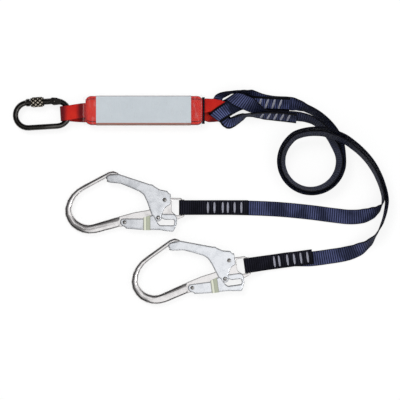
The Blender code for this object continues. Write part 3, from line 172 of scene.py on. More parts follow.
# Places of the straps' middle lines and directions of their widths, as in the model
UPPER_LEG_START = [
    (0.2755, 0.0118, 0.0113, 0.05, 0.85, 0.50),
    (0.2384, 0.0132, 0.0114, 0.03, 0.86, 0.50),
    (0.2120, 0.0142, 0.0118, 0.00, 0.88, 0.46),
    (0.1950, 0.0150, 0.0132, -0.12, 0.94, 0.30),
    (0.1820, 0.0146, 0.0152, -0.36, 0.92, 0.08),
    (0.1681, 0.0087, 0.0164, -0.53, 0.85, 0.00),
    (0.1529, -0.0004, 0.0166, -0.58, 0.81, 0.00),
    (0.1440, -0.0062, 0.0166, -0.68, 0.73, 0.00),
    (0.1371, -0.0108, 0.0168, -0.77, 0.63, 0.00),
    (0.1345, -0.0135, 0.0159, -0.81, 0.58, 0.00),
    (0.1338, -0.0146, 0.0130, -0.81, 0.58, 0.00),
    (0.1344, -0.0137, 0.0103, -0.84, 0.54, 0.00),
    (0.1358, -0.0106, 0.0094, -0.93, 0.37, 0.00),
    (0.1372, -0.0040, 0.0094, -0.99, 0.18, 0.00, 0.0265),
    (0.1388, 0.0080, 0.0094, -0.99, 0.10, 0.00, 0.0235),
    (0.1380, 0.0180, 0.0100, -0.99, 0.00, 0.02, 0.0190),
    (0.1394, 0.0224, 0.0100, -0.98, 0.04, 0.06, 0.0180),
    (0.1418, 0.0262, 0.0104, -0.86, 0.20, 0.40, 0.0180),
    (0.1468, 0.0290, 0.0118, -0.55, 0.30, 0.78, 0.0200),
    (0.1550, 0.0318, 0.0134, -0.24, 0.20, 0.95, 0.0240),
    (0.1650, 0.0343, 0.0147, -0.04, 0.06, 0.99, 0.0270),
    (0.1780, 0.0352, 0.0148, 0.03, 0.08, 0.99),
    (0.1910, 0.0335, 0.0146, 0.06, 0.25, 0.96),
    (0.2050, 0.0288, 0.0122, 0.08, 0.62, 0.78),
    (0.2200, 0.0212, 0.0094, 0.05, 0.80, 0.60),
    (0.2400, 0.0160, 0.0086, 0.03, 0.86, 0.51),
    (0.2790, 0.0131, 0.0086, 0.05, 0.85, 0.52),
    (0.2935, 0.0096, 0.0108, 0.12, 0.62, 0.78),
    (0.3068, 0.0042, 0.0136, 0.16, 0.38, 0.91),
    (0.3240, -0.0046, 0.0146, 0.24, 0.30, 0.92),
    (0.3411, -0.0177, 0.0146, 0.30, 0.25, 0.92),
    (0.3563, -0.0342, 0.0146, 0.33, 0.20, 0.92),
    (0.3690, -0.0560, 0.0146, 0.35, 0.12, 0.93),
]
UPPER_LEG_END = [
    (0.3334, -0.0370, 0.0410, 0.05, 0.28, 0.96),
    (0.3543, -0.0425, 0.0445, 0.08, 0.25, 0.96),
    (0.3752, -0.0507, 0.0444, 0.10, 0.20, 0.97),
    (0.3942, -0.0631, 0.0395, 0.12, 0.15, 0.98),
    (0.4133, -0.0788, 0.0320, 0.12, 0.10, 0.99),
    (0.4303, -0.0978, 0.0250, 0.12, 0.06, 0.99),
    (0.4446, -0.1216, 0.0185, 0.10, 0.03, 0.99),
    (0.4541, -0.1463, 0.0150, 0.08, 0.02, 0.99),
    (0.4585, -0.1672, 0.0146, 0.06, 0.00, 0.99),
    (0.4573, -0.1843, 0.0146, 0.04, 0.00, 0.99),
    (0.4503, -0.2109, 0.0146, 0.00, 0.05, 0.99),
    (0.4389, -0.2337, 0.0144, -0.10, 0.15, 0.98),
    (0.4246, -0.2508, 0.0130, -0.30, 0.45, 0.84),
    (0.4037, -0.2640, 0.0075, -0.35, 0.80, 0.45),
    (0.3810, -0.2713, 0.0030, -0.28, 0.95, 0.12),
    (0.3524, -0.2762, 0.0016, -0.18, 0.98, 0.00),
    (0.3145, -0.2810, 0.0016, -0.12, 0.99, 0.00),
]
LOWER_LEG_START = [
    (0.2879, -0.0152, 0.0142, 0.00, 0.55, 0.83),
    (0.2575, -0.0116, 0.0144, 0.00, 0.55, 0.83),
    (0.2290, -0.0098, 0.0151, 0.00, 0.46, 0.89),
    (0.2160, -0.0090, 0.0150, 0.00, 0.30, 0.95),
    (0.2040, -0.0085, 0.0150, 0.00, 0.15, 0.98),
    (0.1929, -0.0090, 0.0150, -0.05, 0.12, 0.99),
    (0.1852, -0.0122, 0.0146, -0.10, 0.38, 0.92),
    (0.1777, -0.0162, 0.0128, -0.05, 0.56, 0.83),
    (0.1710, -0.0200, 0.0106, 0.07, 0.73, 0.68, 0.0275),
    (0.1650, -0.0225, 0.0082, 0.17, 0.84, 0.50, 0.0265),
    (0.1600, -0.0228, 0.0066, 0.38, 0.88, 0.28, 0.0240),
    (0.1560, -0.0208, 0.0056, 0.63, 0.77, 0.10, 0.0225),
    (0.1530, -0.0168, 0.0052, 0.83, 0.55, 0.02, 0.0220),
    (0.1510, -0.0110, 0.0052, 0.96, 0.25, 0.00, 0.0225),
    (0.1508, -0.0030, 0.0052, 1.00, -0.02, 0.00, 0.0235),
    (0.1528, 0.0080, 0.0052, 0.98, -0.18, 0.00, 0.0225),
    (0.1556, 0.0160, 0.0054, 0.97, -0.10, 0.00, 0.0215),
    (0.1578, 0.0205, 0.0064, 0.94, 0.16, 0.00, 0.0212),
    (0.1600, 0.0238, 0.0096, 0.88, 0.42, 0.00, 0.0212),
    (0.1618, 0.0257, 0.0140, 0.83, 0.55, 0.00, 0.0215),
    (0.1646, 0.0257, 0.0186, 0.80, 0.60, 0.00, 0.0230),
    (0.1700, 0.0236, 0.0207, 0.73, 0.68, 0.00, 0.0255),
    (0.1775, 0.0205, 0.0212, 0.66, 0.75, 0.02),
    (0.1860, 0.0168, 0.0212, 0.60, 0.79, 0.08),
    (0.1960, 0.0125, 0.0208, 0.50, 0.83, 0.20),
    (0.2060, 0.0076, 0.0184, 0.30, 0.82, 0.48),
    (0.2160, 0.0020, 0.0158, 0.10, 0.64, 0.76),
    (0.2290, -0.0055, 0.0140, 0.00, 0.46, 0.89),
    (0.2575, -0.0086, 0.0126, 0.00, 0.55, 0.83),
    (0.2905, -0.0110, 0.0130, 0.03, 0.54, 0.84),
    (0.3068, -0.0142, 0.0138, 0.10, 0.46, 0.88),
    (0.3221, -0.0204, 0.0146, 0.18, 0.36, 0.91),
    (0.3363, -0.0310, 0.0146, 0.26, 0.30, 0.92),
    (0.3480, -0.0450, 0.0146, 0.33, 0.22, 0.92),
    (0.3580, -0.0620, 0.0146, 0.36, 0.12, 0.93),
]
LOWER_LEG_END = [
    (0.3334, -0.0445, 0.0410, 0.05, 0.28, 0.96),
    (0.3524, -0.0500, 0.0445, 0.08, 0.25, 0.96),
    (0.3724, -0.0574, 0.0444, 0.10, 0.20, 0.97),
    (0.3904, -0.0692, 0.0395, 0.12, 0.15, 0.98),
    (0.4085, -0.0838, 0.0320, 0.12, 0.10, 0.99),
    (0.4252, -0.1023, 0.0250, 0.12, 0.06, 0.99),
    (0.4391, -0.1248, 0.0185, 0.10, 0.03, 0.99),
    (0.4486, -0.1492, 0.0150, 0.06, 0.02, 0.99),
    (0.4517, -0.1663, 0.0146, 0.02, 0.00, 0.99),
    (0.4495, -0.1777, 0.0140, -0.05, 0.15, 0.98),
    (0.4420, -0.1871, 0.0122, -0.20, 0.45, 0.87),
    (0.4303, -0.1942, 0.0085, -0.25, 0.75, 0.60),
    (0.4133, -0.1997, 0.0040, -0.15, 0.95, 0.25),
    (0.3904, -0.2014, 0.0020, 0.00, 0.99, 0.08),
    (0.3619, -0.1986, 0.0016, 0.08, 0.99, 0.00),
    (0.3145, -0.1925, 0.0016, 0.09, 0.99, 0.00),
    (0.2479, -0.1864, 0.0016, 0.05, 0.99, 0.00),
]
# Far loop: along X, across Y, share of its rise, strap's spread
FAR_LOOP_UPPER = [
    (0.1240, 0.0098, 0.97, 0.0254), (0.1339, 0.0064, 1.00, 0.0312), (0.1450, 0.0028, 1.00, 0.0340),
    (0.1530, 0.0016, 1.00, 0.0306), (0.1600, 0.0038, 1.00, 0.0246),
]
FAR_LOOP_LOWER = [
    (0.1600, 0.0050, 0.00, 0.0270), (0.1530, 0.0020, 0.00, 0.0330), (0.1450, -0.0008, 0.00, 0.0380),
    (0.1339, -0.0022, 0.00, 0.0370), (0.1240, -0.0044, 0.10, 0.0340),
]

# Camera, floor and light

def lay_table():
    """White table under the lanyard."""
    bm = bmesh.new()
    bmesh.ops.create_grid(bm, x_segments=1, y_segments=1, size=4.0)
    mat, tree, surface = new_finish("white_table", WHITE, 0.9)
    surface.inputs["Specular IOR Level"].default_value = 0.1
    seen = tree.nodes.new("ShaderNodeLightPath").outputs["Is Camera Ray"]
    glow = join(tree, "ShaderNodeEmission", {"Strength": calc(tree, "MULTIPLY", seen, TABLE_GLOW)})
    both = join(tree, "ShaderNodeAddShader", {0: surface.outputs[0], 1: glow.outputs[0]})
    tree.links.new(blend_colours(tree, seen, WHITE, TABLE_SHADE), surface.inputs["Base Color"])
    tree.links.new(both.outputs[0], tree.nodes["Material Output"].inputs["Surface"])
    table = put_in_scene("table", bm, mat)


def hang_cards():
    """Black ring, and grey cards above it on the upper left, that only gloss sees: metal's dark sides."""
    for name, radii, depth, level, shade, kept in (("black_card", (1.7, 1.7), 1.30, 0.67, 0.010, -2.0),
                                                   ("dim_card", (1.7, 1.2), 0.50, 1.57, 0.07, -0.35),
                                                   ("grey_card", (1.2, 0.38), 0.30, 1.97, 0.21, -0.15)):
        bm = bmesh.new()
        bmesh.ops.create_cone(bm, segments=48, radius1=radii[0], radius2=radii[1], depth=depth)
        lit = [face for face in bm.faces if face.calc_center_median().normalized().dot(CARD_SIDE) < kept]
        bmesh.ops.delete(bm, geom=lit, context="FACES")
        bmesh.ops.translate(bm, verts=bm.verts, vec=(*CARDS_MIDDLE, level))
        mat, _, surface = new_finish(name, (0, 0, 0), 1.0)
        surface.inputs["Emission Color"].default_value = (shade, shade * 0.98, shade * 0.98, 1)
        surface.inputs["Emission Strength"].default_value = 1.0
        card = put_in_scene(name, bm, mat)
        card.visible_camera = False
        card.visible_diffuse = False
        card.visible_shadow = False


def set_light():
    """White room, a key lamp from the upper left, a weak fill lamp, and a small one that only gloss sees."""
    world = bpy.data.worlds.new("white_room")
    world.use_nodes = True
    tree = world.node_tree
    path = tree.nodes.new("ShaderNodeLightPath")
    seen = calc(tree, "MAXIMUM", path.outputs["Is Camera Ray"], path.outputs["Is Glossy Ray"])
    seen = calc(tree, "MAXIMUM", seen, path.outputs["Is Transmission Ray"])
    strength = join(tree, "ShaderNodeMix", {"Factor": seen, 2: ROOM_ON_MATT, 3: 1.0})
    tree.nodes["Background"].inputs["Color"].default_value = (1, 1, 1, 1)
    tree.links.new(strength.outputs[0], tree.nodes["Background"].inputs["Strength"])
    bpy.context.scene.world = world
    lamps = (("key_lamp", (-0.9, 1.1, 2.2), 1.1, 26), ("fill_lamp", (1.5, -0.6, 2.0), 1.6, 9),
             ("glint_lamp", (0.77, -0.56, 1.74), 0.22, 1.6))
    for name, spot, size, power in lamps:
        lamp = bpy.data.lights.new(name, "AREA")
        lamp.size = size
        lamp.energy = power
        holder = bpy.data.objects.new(name, lamp)
        holder.location = spot
        holder.rotation_mode = "QUATERNION"
        holder.rotation_quaternion = (Vector(spot) - LAMPS_AIM).to_track_quat("Z", "Y")
        holder.visible_diffuse = name != "glint_lamp"
        holder.visible_glossy = name == "glint_lamp"
        bpy.context.scene.collection.objects.link(holder)


def place_camera():
    """Camera straight above, with a lens that shows the seen width at table height."""
    data = bpy.data.cameras.new("above")
    data.sensor_width = SENSOR_WIDTH
    data.lens = SENSOR_WIDTH * CAMERA_PLACE[2] / SEEN_WIDTH
    camera = bpy.data.objects.new("above", data)
    camera.location = CAMERA_PLACE
    bpy.context.scene.collection.objects.link(camera)
    bpy.context.scene.camera = camera


# Meshes

def put_in_scene(name, bm, mat):
    """Object at the origin with a smooth mesh and its finish."""
    mesh = bpy.data.meshes.new(name)
    for face in bm.faces:
        face.smooth = True
    bm.to_mesh(mesh)
    bm.free()
    mesh.materials.append(mat)
    obj = bpy.data.objects.new(name, mesh)
    bpy.context.scene.collection.objects.link(obj)
    return obj


def wrapped(rings, marks):
    """Closed skin over rings of points: a grid is bent round them, welded along its seam and capped.

    marks gives each ring's distance along and each ring point's distance across, for the UV map.
    """
    along, across = marks
    count = len(rings[0])
    bm = bmesh.new()
    bmesh.ops.create_grid(bm, x_segments=len(rings) - 1, y_segments=count, size=0.5)
    layer = bm.loops.layers.uv.new("strap")
    grid = {vert: (round((vert.co.x + 0.5) * (len(rings) - 1)), round((vert.co.y + 0.5) * count))
            for vert in bm.verts}
    for face in bm.faces:
        for loop in face.loops:
            i, j = grid[loop.vert]
            loop[layer].uv = (along[i], across[j % count])
    for vert, (i, j) in grid.items():
        vert.co = rings[i][j % count]
    bmesh.ops.remove_doubles(bm, verts=bm.verts, dist=1e-6)
    rims = [edge for edge in bm.edges if edge.is_boundary]
    bmesh.ops.holes_fill(bm, edges=rims)
    bmesh.ops.recalc_face_normals(bm, faces=bm.faces)
    return bm


def smooth_route(stations):
    """Even rows along a strap, each (middle, width direction, width), and the row of each station."""
    spots = [Vector(s[:3]) for s in stations]
    sides = [Vector(s[3:6]).normalized() for s in stations]
    spans = [s[6] if len(s) > 6 else WEB_WIDTH for s in stations]
    rows, starts = [], []
    for i in range(len(spots) - 1):
        a, b = spots[max(i - 1, 0)], spots[i]
        c, d = spots[i + 1], spots[min(i + 2, len(spots) - 1)]
        length = (c - b).length
        start = ((b - a) / max((b - a).length, 1e-6) + (c - b) / length).normalized() * length
        end = ((c - b) / length + (d - c) / max((d - c).length, 1e-6)).normalized() * length
        count = max(1, round(length / STRAP_STEP))
        starts.append(len(rows))
        for k in range(count):
            t = k / count
            middle = ((2 * t**3 - 3 * t**2 + 1) * b + (t**3 - 2 * t**2 + t) * start
                      + (3 * t**2 - 2 * t**3) * c + (t**3 - t**2) * end)
            ease = t * t * (3 - 2 * t)
            side = sides[i].lerp(sides[i + 1], ease).normalized()
            rows.append([middle, side, spans[i] + (spans[i + 1] - spans[i]) * ease])
    starts.append(len(rows))
    rows.append([spots[-1], sides[-1], spans[-1]])
    for row in rows:
        tilt = min(1.0, abs(row[1].z))
        lowest = tilt * row[2] / 2 + math.sqrt(1 - tilt * tilt) * WEB_THICK / 2 + GAP
        row[0].z = max(row[0].z, lowest)
    return rows, starts


# Half of a strap's section, thicker at its woven edges: shares of its half width and half thickness
SELVEDGE = [(1.00, 0.35), (0.985, 0.80), (0.95, 1.00), (0.90, 0.96), (0.80, 0.88), (0.45, 0.88), (0.0, 0.88)]


def strap_section():
    """Whole section of a strap, round from one woven edge back to it."""
    top = SELVEDGE + [(-x, z) for x, z in reversed(SELVEDGE[:-1])]
    return top + [(x, -z) for x, z in reversed(top)]


def face_of(rows, i):
    """Direction that a strap's face looks in at one of its rows."""
    ahead = rows[min(i + 1, len(rows) - 1)][0] - rows[max(i - 1, 0)][0]
    return ahead.normalized().cross(rows[i][1]).normalized()


def strap(name, rows, mat, first=0, last=None):
    """Woven strap along some of a route's rows."""
    last = len(rows) - 1 if last is None else last
    section = strap_section()
    along = [0.0]
    for a, b in zip(rows, rows[1:]):
        along.append(along[-1] + (b[0] - a[0]).length)
    rings = []
    for i in range(first, last + 1):
        middle, side, span = rows[i]
        face = face_of(rows, i)
        rings.append([middle + side * span / 2 * x + face * WEB_THICK / 2 * z for x, z in section])
    marks = (along[first:last + 1], [x * WEB_WIDTH / 2 for x, _ in section])
    return put_in_scene(name, wrapped(rings, marks), mat)


def bight(centre, radius, start, end, count, side):
    """Stations where a strap goes round a bar that lies along the side direction, angles in degrees."""
    side = Vector(side).normalized()
    out = side.cross(UP)
    stations = []
    for i in range(count + 1):
        turn = math.radians(start + (end - start) * i / count)
        spot = Vector(centre) + out * radius * math.cos(turn) + UP * radius * math.sin(turn)
        stations.append((*spot, *side))
    return stations


# Legs

def shared_turn(name):
    """The leg's loose turn, clockwise from its right side until just before it climbs over itself."""
    stations = []
    for i in range(TURN_STATIONS):
        degrees = TURN_START - i * TURN_STEP
        turn = math.radians(degrees)
        spot = TURN_CENTRE + Vector((math.cos(turn), math.sin(turn))) * TURN_RADII[name]
        climb = max(0.0, (-degrees - 170) / 69)
        stations.append((spot.x, spot.y, EDGE_Z + 0.0160 * climb**1.5, 0.35 * math.cos(turn),
                         0.30 * math.sin(turn), 0.94))
    return stations


def hook_eye(name):
    """End of a leg: out to the hook's eye bar, round it and back to the cut tail on top."""
    x, y, turn = HOOK_PLACES[name]
    along = Vector((math.cos(turn), math.sin(turn), 0))
    side = Vector((-math.sin(turn), math.cos(turn), 0))
    radius = HOOK_BAR_RADIUS + GAP + WEB_THICK / 2
    top = FLAT_Z + WEB_THICK + PLY_GAP
    eye = Vector((x, y, 0))

    def at(distance, level):
        return (*(eye + along * distance + UP * level), *side)

    stations = [at(0.0850, FLAT_Z), at(0.0500, FLAT_Z), at(0.0280, FLAT_Z + 0.0001),
                at(0.0140, HOOK_HEIGHT - radius - 0.0008)]
    stations += bight(eye + UP * HOOK_HEIGHT, radius, -90, -270, 8, side)
    stations += [at(0.0140, HOOK_HEIGHT + radius - 0.0014), at(0.0280, top + 0.0012), at(0.0420, top),
                 at(0.0700, top), at(SEWN_LENGTH, top)]
    return stations


def bar_tacks(name, rows, distances, slant, mat, from_end=False):
    """Dense rows of grey stitching across a sewn tail, raised a little from its upper face."""
    bm = bmesh.new()
    layer = bm.loops.layers.uv.new("strap")
    order = list(range(len(rows)))
    if from_end:
        order.reverse()
    for distance in distances:
        gone = 0.0
        for a, b in zip(order, order[1:]):
            gone += (rows[b][0] - rows[a][0]).length
            if gone >= distance:
                break
        middle, side, span = rows[b]
        face = face_of(rows, b)
        face = -face if face.z < 0 else face
        ahead = side.cross(face)
        long_way = (side * math.cos(slant) + ahead * math.sin(slant)).normalized()
        short_way = face.cross(long_way)
        sizes = (span * TACK_SPAN, TACK_HALF, TACK_RISE)
        made = bmesh.ops.create_uvsphere(bm, u_segments=20, v_segments=10, radius=1.0)["verts"]
        spots = {vert: vert.co.copy() for vert in made}
        for face_made in {f for vert in made for f in vert.link_faces}:
            for loop in face_made.loops:
                loop[layer].uv = (spots[loop.vert].x * sizes[0], spots[loop.vert].y * sizes[1])
        for vert, spot in spots.items():
            blunt = math.copysign(min(1.0, abs(spot.x) * TACK_BLUNT), spot.x)
            vert.co = (middle + face * (WEB_THICK / 2 - TACK_SINK) + long_way * blunt * sizes[0]
                       + short_way * spot.y * sizes[1] + face * spot.z * sizes[2])
    return put_in_scene(name, bm, mat)


def leg(name, start, end, hook, finishes):
    """A whole leg: sewn tail at the absorber, free strap, and sewn tail at its hook."""
    eye = hook_eye(hook)
    stations = start + shared_turn(hook) + end + eye
    rows, starts = smooth_route(stations)
    leave = starts[TAIL_STATION]
    arrive = starts[len(stations) - len(eye) + BAR_STATION]
    thread = finishes["thread"]
    free = strap(name + "_webbing", rows, finishes["navy_webbing"], leave, arrive)
    tails = [strap(name + "_absorber_tail", rows, finishes["painted_light_hitch_webbing"], 0, leave),
             strap(name + "_hook_tail", rows, finishes["dark_webbing"], arrive),
             bar_tacks(name + "_absorber_tacks", rows, ABSORBER_TACKS[name], TACK_SLANT, thread),
             bar_tacks(name + "_hook_tacks", rows, HOOK_TACKS[hook], 0.0, thread, from_end=True)]
    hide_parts(name)
    for piece in (free, *tails):
        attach(piece, "absorber")


# Absorber

def near_loop(finishes):
    """Strap loop that holds the carabiner."""
    rise = LOOP_CAVITY + WEB_THICK / 2
    low, top = CARABINER_HEIGHT - rise, CARABINER_HEIGHT + rise
    start = -PACK_LENGTH / 2 + LOOP_SEAT - GAP
    end = -PACK_LENGTH / 2
    turn = CARABINER_PLACE[2]
    across = (-math.sin(turn), math.cos(turn), 0.0)
    side = (0.0, 1.0, 0.0)
    middle = CARABINER_PLACE[1] + OVAL_HALF_STRAIGHT * math.sin(turn)
    upper, lower = NEAR_PLIES
    above, below = PACK_MIDDLE + LOOP_LEVEL, PACK_MIDDLE - LOOP_LEVEL
    stations = [(start, upper, above, *side), (end, upper, above, *side),
                (end - 0.0070, -0.0004, above + 0.0006, *side),
                (-0.1270, -0.0022, top - 0.0008, *side), (-0.1365, -0.0040, top, *across)]
    stations += bight((LOOP_BIGHT_X, middle, CARABINER_HEIGHT), rise, 90, 270, 10, across)
    stations += [(-0.1365, -0.0064, low, *across), (-0.1270, -0.0072, low + 0.0008, *side),
                 (end - 0.0070, lower, below - 0.0006, *side), (end, lower, below, *side),
                 (start, lower, below, *side)]
    loop = strap("near_loop_webbing", smooth_route(stations)[0], finishes["red_webbing"])
    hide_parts("near_loop")
    return loop


def far_loop(finishes):
    """Strap loop that the two legs are threaded through."""
    start = PACK_LENGTH / 2 - LOOP_SEAT + GAP
    end = PACK_LENGTH / 2
    upper, lower = FAR_PLIES
    level = FAR_LOOP_LEVEL
    side = (0.0, 1.0, 0.0)
    stations = [(start, upper, PACK_MIDDLE + level, *side, WEB_WIDTH),
                (end + 0.0040, upper, PACK_MIDDLE + level, *side, WEB_WIDTH)]
    stations += [(x, y, FLAT_Z + share * FAR_LOOP_RISE, *side, span) for x, y, share, span in FAR_LOOP_UPPER]
    bend = FAR_LOOP_RISE / 2
    turn = bight((*FAR_LOOP_BIGHT, FLAT_Z + bend), bend, 90, -90, 8, side)
    stations += [(*spot, FAR_LOOP_WIDTH) for spot in turn]
    stations += [(x, y, FLAT_Z + share * FAR_LOOP_RISE, *side, span) for x, y, share, span in FAR_LOOP_LOWER]
    stations += [(end + 0.0040, lower, PACK_MIDDLE - level, *side, WEB_WIDTH),
                 (start, lower, PACK_MIDDLE - level, *side, WEB_WIDTH)]
    loop = strap("far_loop_webbing", smooth_route(stations)[0], finishes["red_webbing"])
    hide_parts("far_loop")
    return loop


def box_section(half_width, half_thick, radius):
    """Rounded section of the absorber as (across, height) pairs, with extra points along its sides."""
    y, z = half_width - radius, half_thick - radius
    corners = [(y, z, 0), (-y, z, 90), (-y, -z, 180), (y, -z, 270)]

    def on_corner(corner, degrees):
        turn = math.radians(corner[2] + degrees)
        return corner[0] + radius * math.cos(turn), corner[1] + radius * math.sin(turn)

    points = []
    for k, corner in enumerate(corners):
        points += [on_corner(corner, 18 * i) for i in range(6)]
        here, ahead = points[-1], on_corner(corners[(k + 1) % 4], 0)
        parts = 15 if k % 2 == 0 else 5
        points += [(here[0] + (ahead[0] - here[0]) * i / parts, here[1] + (ahead[1] - here[1]) * i / parts)
                   for i in range(1, parts)]
    return points


def tear_webbing(finishes):
    """Folded stack of tear webbing: plies show along its sides and ends, a fold line along its top."""
    half, thick = PACK_WIDTH / 2, PACK_THICK / 2
    end = PACK_LENGTH / 2
    taper, drop, closing = 0.0040, 0.0012, 0.0075   # how far and over what length its ends draw in
    groove, flap = 0.0009, 0.0006                   # depth between plies, and of the step at the fold
    crease, crease_half = 0.0008, 0.0012
    steps = 56
    along, rings = [], []
    for step in range(steps + 1):
        x = -end + PACK_LENGTH * step / steps
        close = max(0.0, 1 - (end - abs(x)) / closing)
        narrow = taper * close**1.6
        ring = []
        for y, z in box_section(half - narrow, thick - drop * close**2, PACK_ROUNDING):
            height = (z + thick) / PACK_THICK * PACK_PLIES
            seam = abs(height - round(height)) < 0.18
            if abs(y) > half - narrow - 0.0012 and seam and abs(z) < thick - 0.002:
                y -= math.copysign(groove, y)
            away = abs(abs(y) - PLY_FOLD)
            if z > 0 and abs(y) > PLY_FOLD:
                z -= flap
            if z > 0 and away < crease_half:
                z -= crease * (1 - away / crease_half)
            ring.append(Vector((x, y, PACK_MIDDLE + z)))
        rings.append(ring)
        along.append(x)
    bm = wrapped(rings, (along, [y for y, _ in box_section(half, thick, PACK_ROUNDING)]))
    pitch = PACK_THICK / PACK_PLIES
    for way in (-1, 1):
        for ply in range(PACK_PLIES):
            level = PACK_MIDDLE - thick + pitch * (ply + 0.5)
            place = Matrix.Translation((way * (end - 0.0002), 0, level))
            place = place @ Matrix.Rotation(math.pi / 2, 4, "X")
            bmesh.ops.create_cone(bm, cap_ends=True, segments=16, radius1=pitch * 0.48, radius2=pitch * 0.48,
                                  depth=PACK_WIDTH - 0.0130, matrix=place)
    pack = put_in_scene("folded_tear_webbing", bm, finishes["folded_webbing"])
    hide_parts("tear_webbing_pack")
    return pack


def clear_film(finishes):
    """Clear shrink film round the pack: drawn in at its ends, lipped, and faintly wrinkled."""
    clear = 0.0016   # from the pack's surface
    half, thick = PACK_WIDTH / 2 + clear, PACK_THICK / 2 + clear
    tip = SHRINK_LENGTH / 2
    along, rings = [], []
    steps = 92
    length = SHRINK_LENGTH - FILM_PULL
    near, far = 0.0105, 0.0080   # lengths over which its ends change
    gather, neck, lip = 0.0046, 0.0011, 0.0010
    for step in range(steps + 1):
        x = -tip + length * step / steps
        left = max(0.0, 1 - (x + tip) / near)
        right = max(0.0, 1 - (length - tip - x) / far)
        pinch = gather * left**1.4 + neck * math.sin(math.pi * min(1.0, right * 1.6)) * (right > 0)
        flare = lip * max(0.0, right - 0.72) / 0.28
        ring = []
        for y, z in box_section(half - pinch + flare, thick - 0.0009 * left + flare * 0.4, FILM_ROUNDING):
            spot = Vector((x, y, z))
            ripple = noise.noise(spot * 90.0) * 0.00035
            ripple += noise.noise(Vector((x * 260, y * 30, z * 30))) * 0.0003
            push = max(0.0, ripple) * (0.35 + 2.0 * max(left, right))
            out = Vector((0, y / half, z / thick)).normalized()
            spot += out * push
            spot.z = max(spot.z + PACK_MIDDLE, FILM_LOWEST)
            ring.append(spot)
        rings.append(ring)
        along.append(x)
    bm = wrapped(rings, (along, [y for y, _ in box_section(half, thick, FILM_ROUNDING)]))
    ends = [face for face in bm.faces if len(face.verts) > 8]
    bmesh.ops.delete(bm, geom=ends, context="FACES_ONLY")
    film = put_in_scene("clear_film", bm, finishes["clear"])
    wall = film.modifiers.new("wall", "SOLIDIFY")
    wall.thickness = FILM_WALL
    wall.offset = 0.0
    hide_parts("clear_shrink_sleeve")
    return film


def painted_shade_band(finishes):
    """Dark band round the far end of the pack: painted shade where the pack's end lies in shadow."""
    place, half, thick = SHADE_BAND
    path = box_section(half, thick, 0.0040)
    rings = []
    for y, z in path + path[:1]:
        out = Vector((0, y * thick / half, z)).normalized()
        rings.append([Vector((place + x * SHADE_BAND_HALF, y, PACK_MIDDLE + z)) + out * share * SHADE_BAND_WALL
                      for x, share in strap_section()])
    marks = ([i * 0.002 for i in range(len(rings))], [x * SHADE_BAND_HALF for x, _ in strap_section()])
    return put_in_scene("dark_painted_shade_band", wrapped(rings, marks), finishes["dark_webbing"])


# Finishes

def join(tree, kind, values=None, **settings):
    """A node with its settings, whose inputs are numbers or other nodes' outputs."""
    node = tree.nodes.new(kind)
    for key, value in settings.items():
        setattr(node, key, value)
    for key, value in (values or {}).items():
        if isinstance(value, bpy.types.NodeSocket):
            tree.links.new(value, node.inputs[key])
        else:
            node.inputs[key].default_value = value
    return node


def calc(tree, operation, *values):
    """Result of a sum on numbers or outputs."""
    return join(tree, "ShaderNodeMath", dict(enumerate(values)), operation=operation).outputs[0]


def blend_colours(tree, share, first, second):
    """Mix of two colours, each an output or (red, green, blue)."""
    first, second = ((*colour, 1) if isinstance(colour, tuple) else colour for colour in (first, second))
    return join(tree, "ShaderNodeMix", {0: share, 6: first, 7: second}, data_type="RGBA").outputs[2]


def fade(tree, value, start, stop, low=0.0, high=1.0, smooth=False):
    """Result that goes from low to high while a value goes from start to stop."""
    return join(tree, "ShaderNodeMapRange",
                {"Value": value, "From Min": start, "From Max": stop, "To Min": low, "To Max": high},
                interpolation_type="SMOOTHSTEP" if smooth else "LINEAR").outputs[0]


def waves(tree, value, pitch):
    """Even waves between 0 and 1."""
    swing = calc(tree, "SINE", calc(tree, "MULTIPLY", value, math.tau / pitch))
    return calc(tree, "MULTIPLY_ADD", swing, 0.5, 0.5)


def clouds(tree, place, scale, detail, roughness=0.5):
    """Noise between 0 and 1 at a place."""
    return join(tree, "ShaderNodeTexNoise",
                {"Vector": place, "Scale": scale, "Detail": detail, "Roughness": roughness}).outputs[0]


def object_place(tree):
    """Place on a piece in metres."""
    return tree.nodes.new("ShaderNodeTexCoord").outputs["Object"]


def parts_of(tree, vector):
    """X, Y and Z of a vector."""
    return join(tree, "ShaderNodeSeparateXYZ", {0: vector}).outputs


def own_place(tree, x, y, z, turn):
    """X, Y and Z as seen from a place on the table and turned with it."""
    place = join(tree, "ShaderNodeMapping", {"Vector": object_place(tree), "Location": (x, y, z),
                                             "Rotation": (0, 0, turn)}, vector_type="TEXTURE")
    return parts_of(tree, place.outputs[0])


def strap_place(tree):
    """Distances along and across a strap."""
    return parts_of(tree, join(tree, "ShaderNodeUVMap", uv_map="strap").outputs[0])


def raise_by(tree, surface, height, strength, distance, normal=None):
    """Give a surface its relief, on top of another normal if there is one."""
    values = {"Height": height, "Strength": strength, "Distance": distance}
    if normal is not None:
        values["Normal"] = normal
    tree.links.new(join(tree, "ShaderNodeBump", values).outputs[0], surface.inputs["Normal"])


def new_finish(name, colour, roughness, metallic=0.0):
    """Material with its shader set to a plain colour."""
    mat = bpy.data.materials.new(name)
    mat.use_nodes = True
    surface = mat.node_tree.nodes["Principled BSDF"]
    surface.inputs["Base Color"].default_value = (*colour, 1)
    surface.inputs["Roughness"].default_value = roughness
    surface.inputs["Metallic"].default_value = metallic
    mat.diffuse_color = (*colour, 1)
    return mat, mat.node_tree, surface


def new_effect(name, inputs, outputs):
    """Empty node group with named float inputs and its outputs."""
    group = bpy.data.node_groups.new(name, "ShaderNodeTree")
    for label, value in inputs.items():
        socket = group.interface.new_socket(label, in_out="INPUT", socket_type="NodeSocketFloat")
        socket.default_value = value
    for label in outputs:
        group.interface.new_socket(label, in_out="OUTPUT", socket_type="NodeSocketFloat")
    return group, group.nodes.new("NodeGroupInput"), group.nodes.new("NodeGroupOutput")
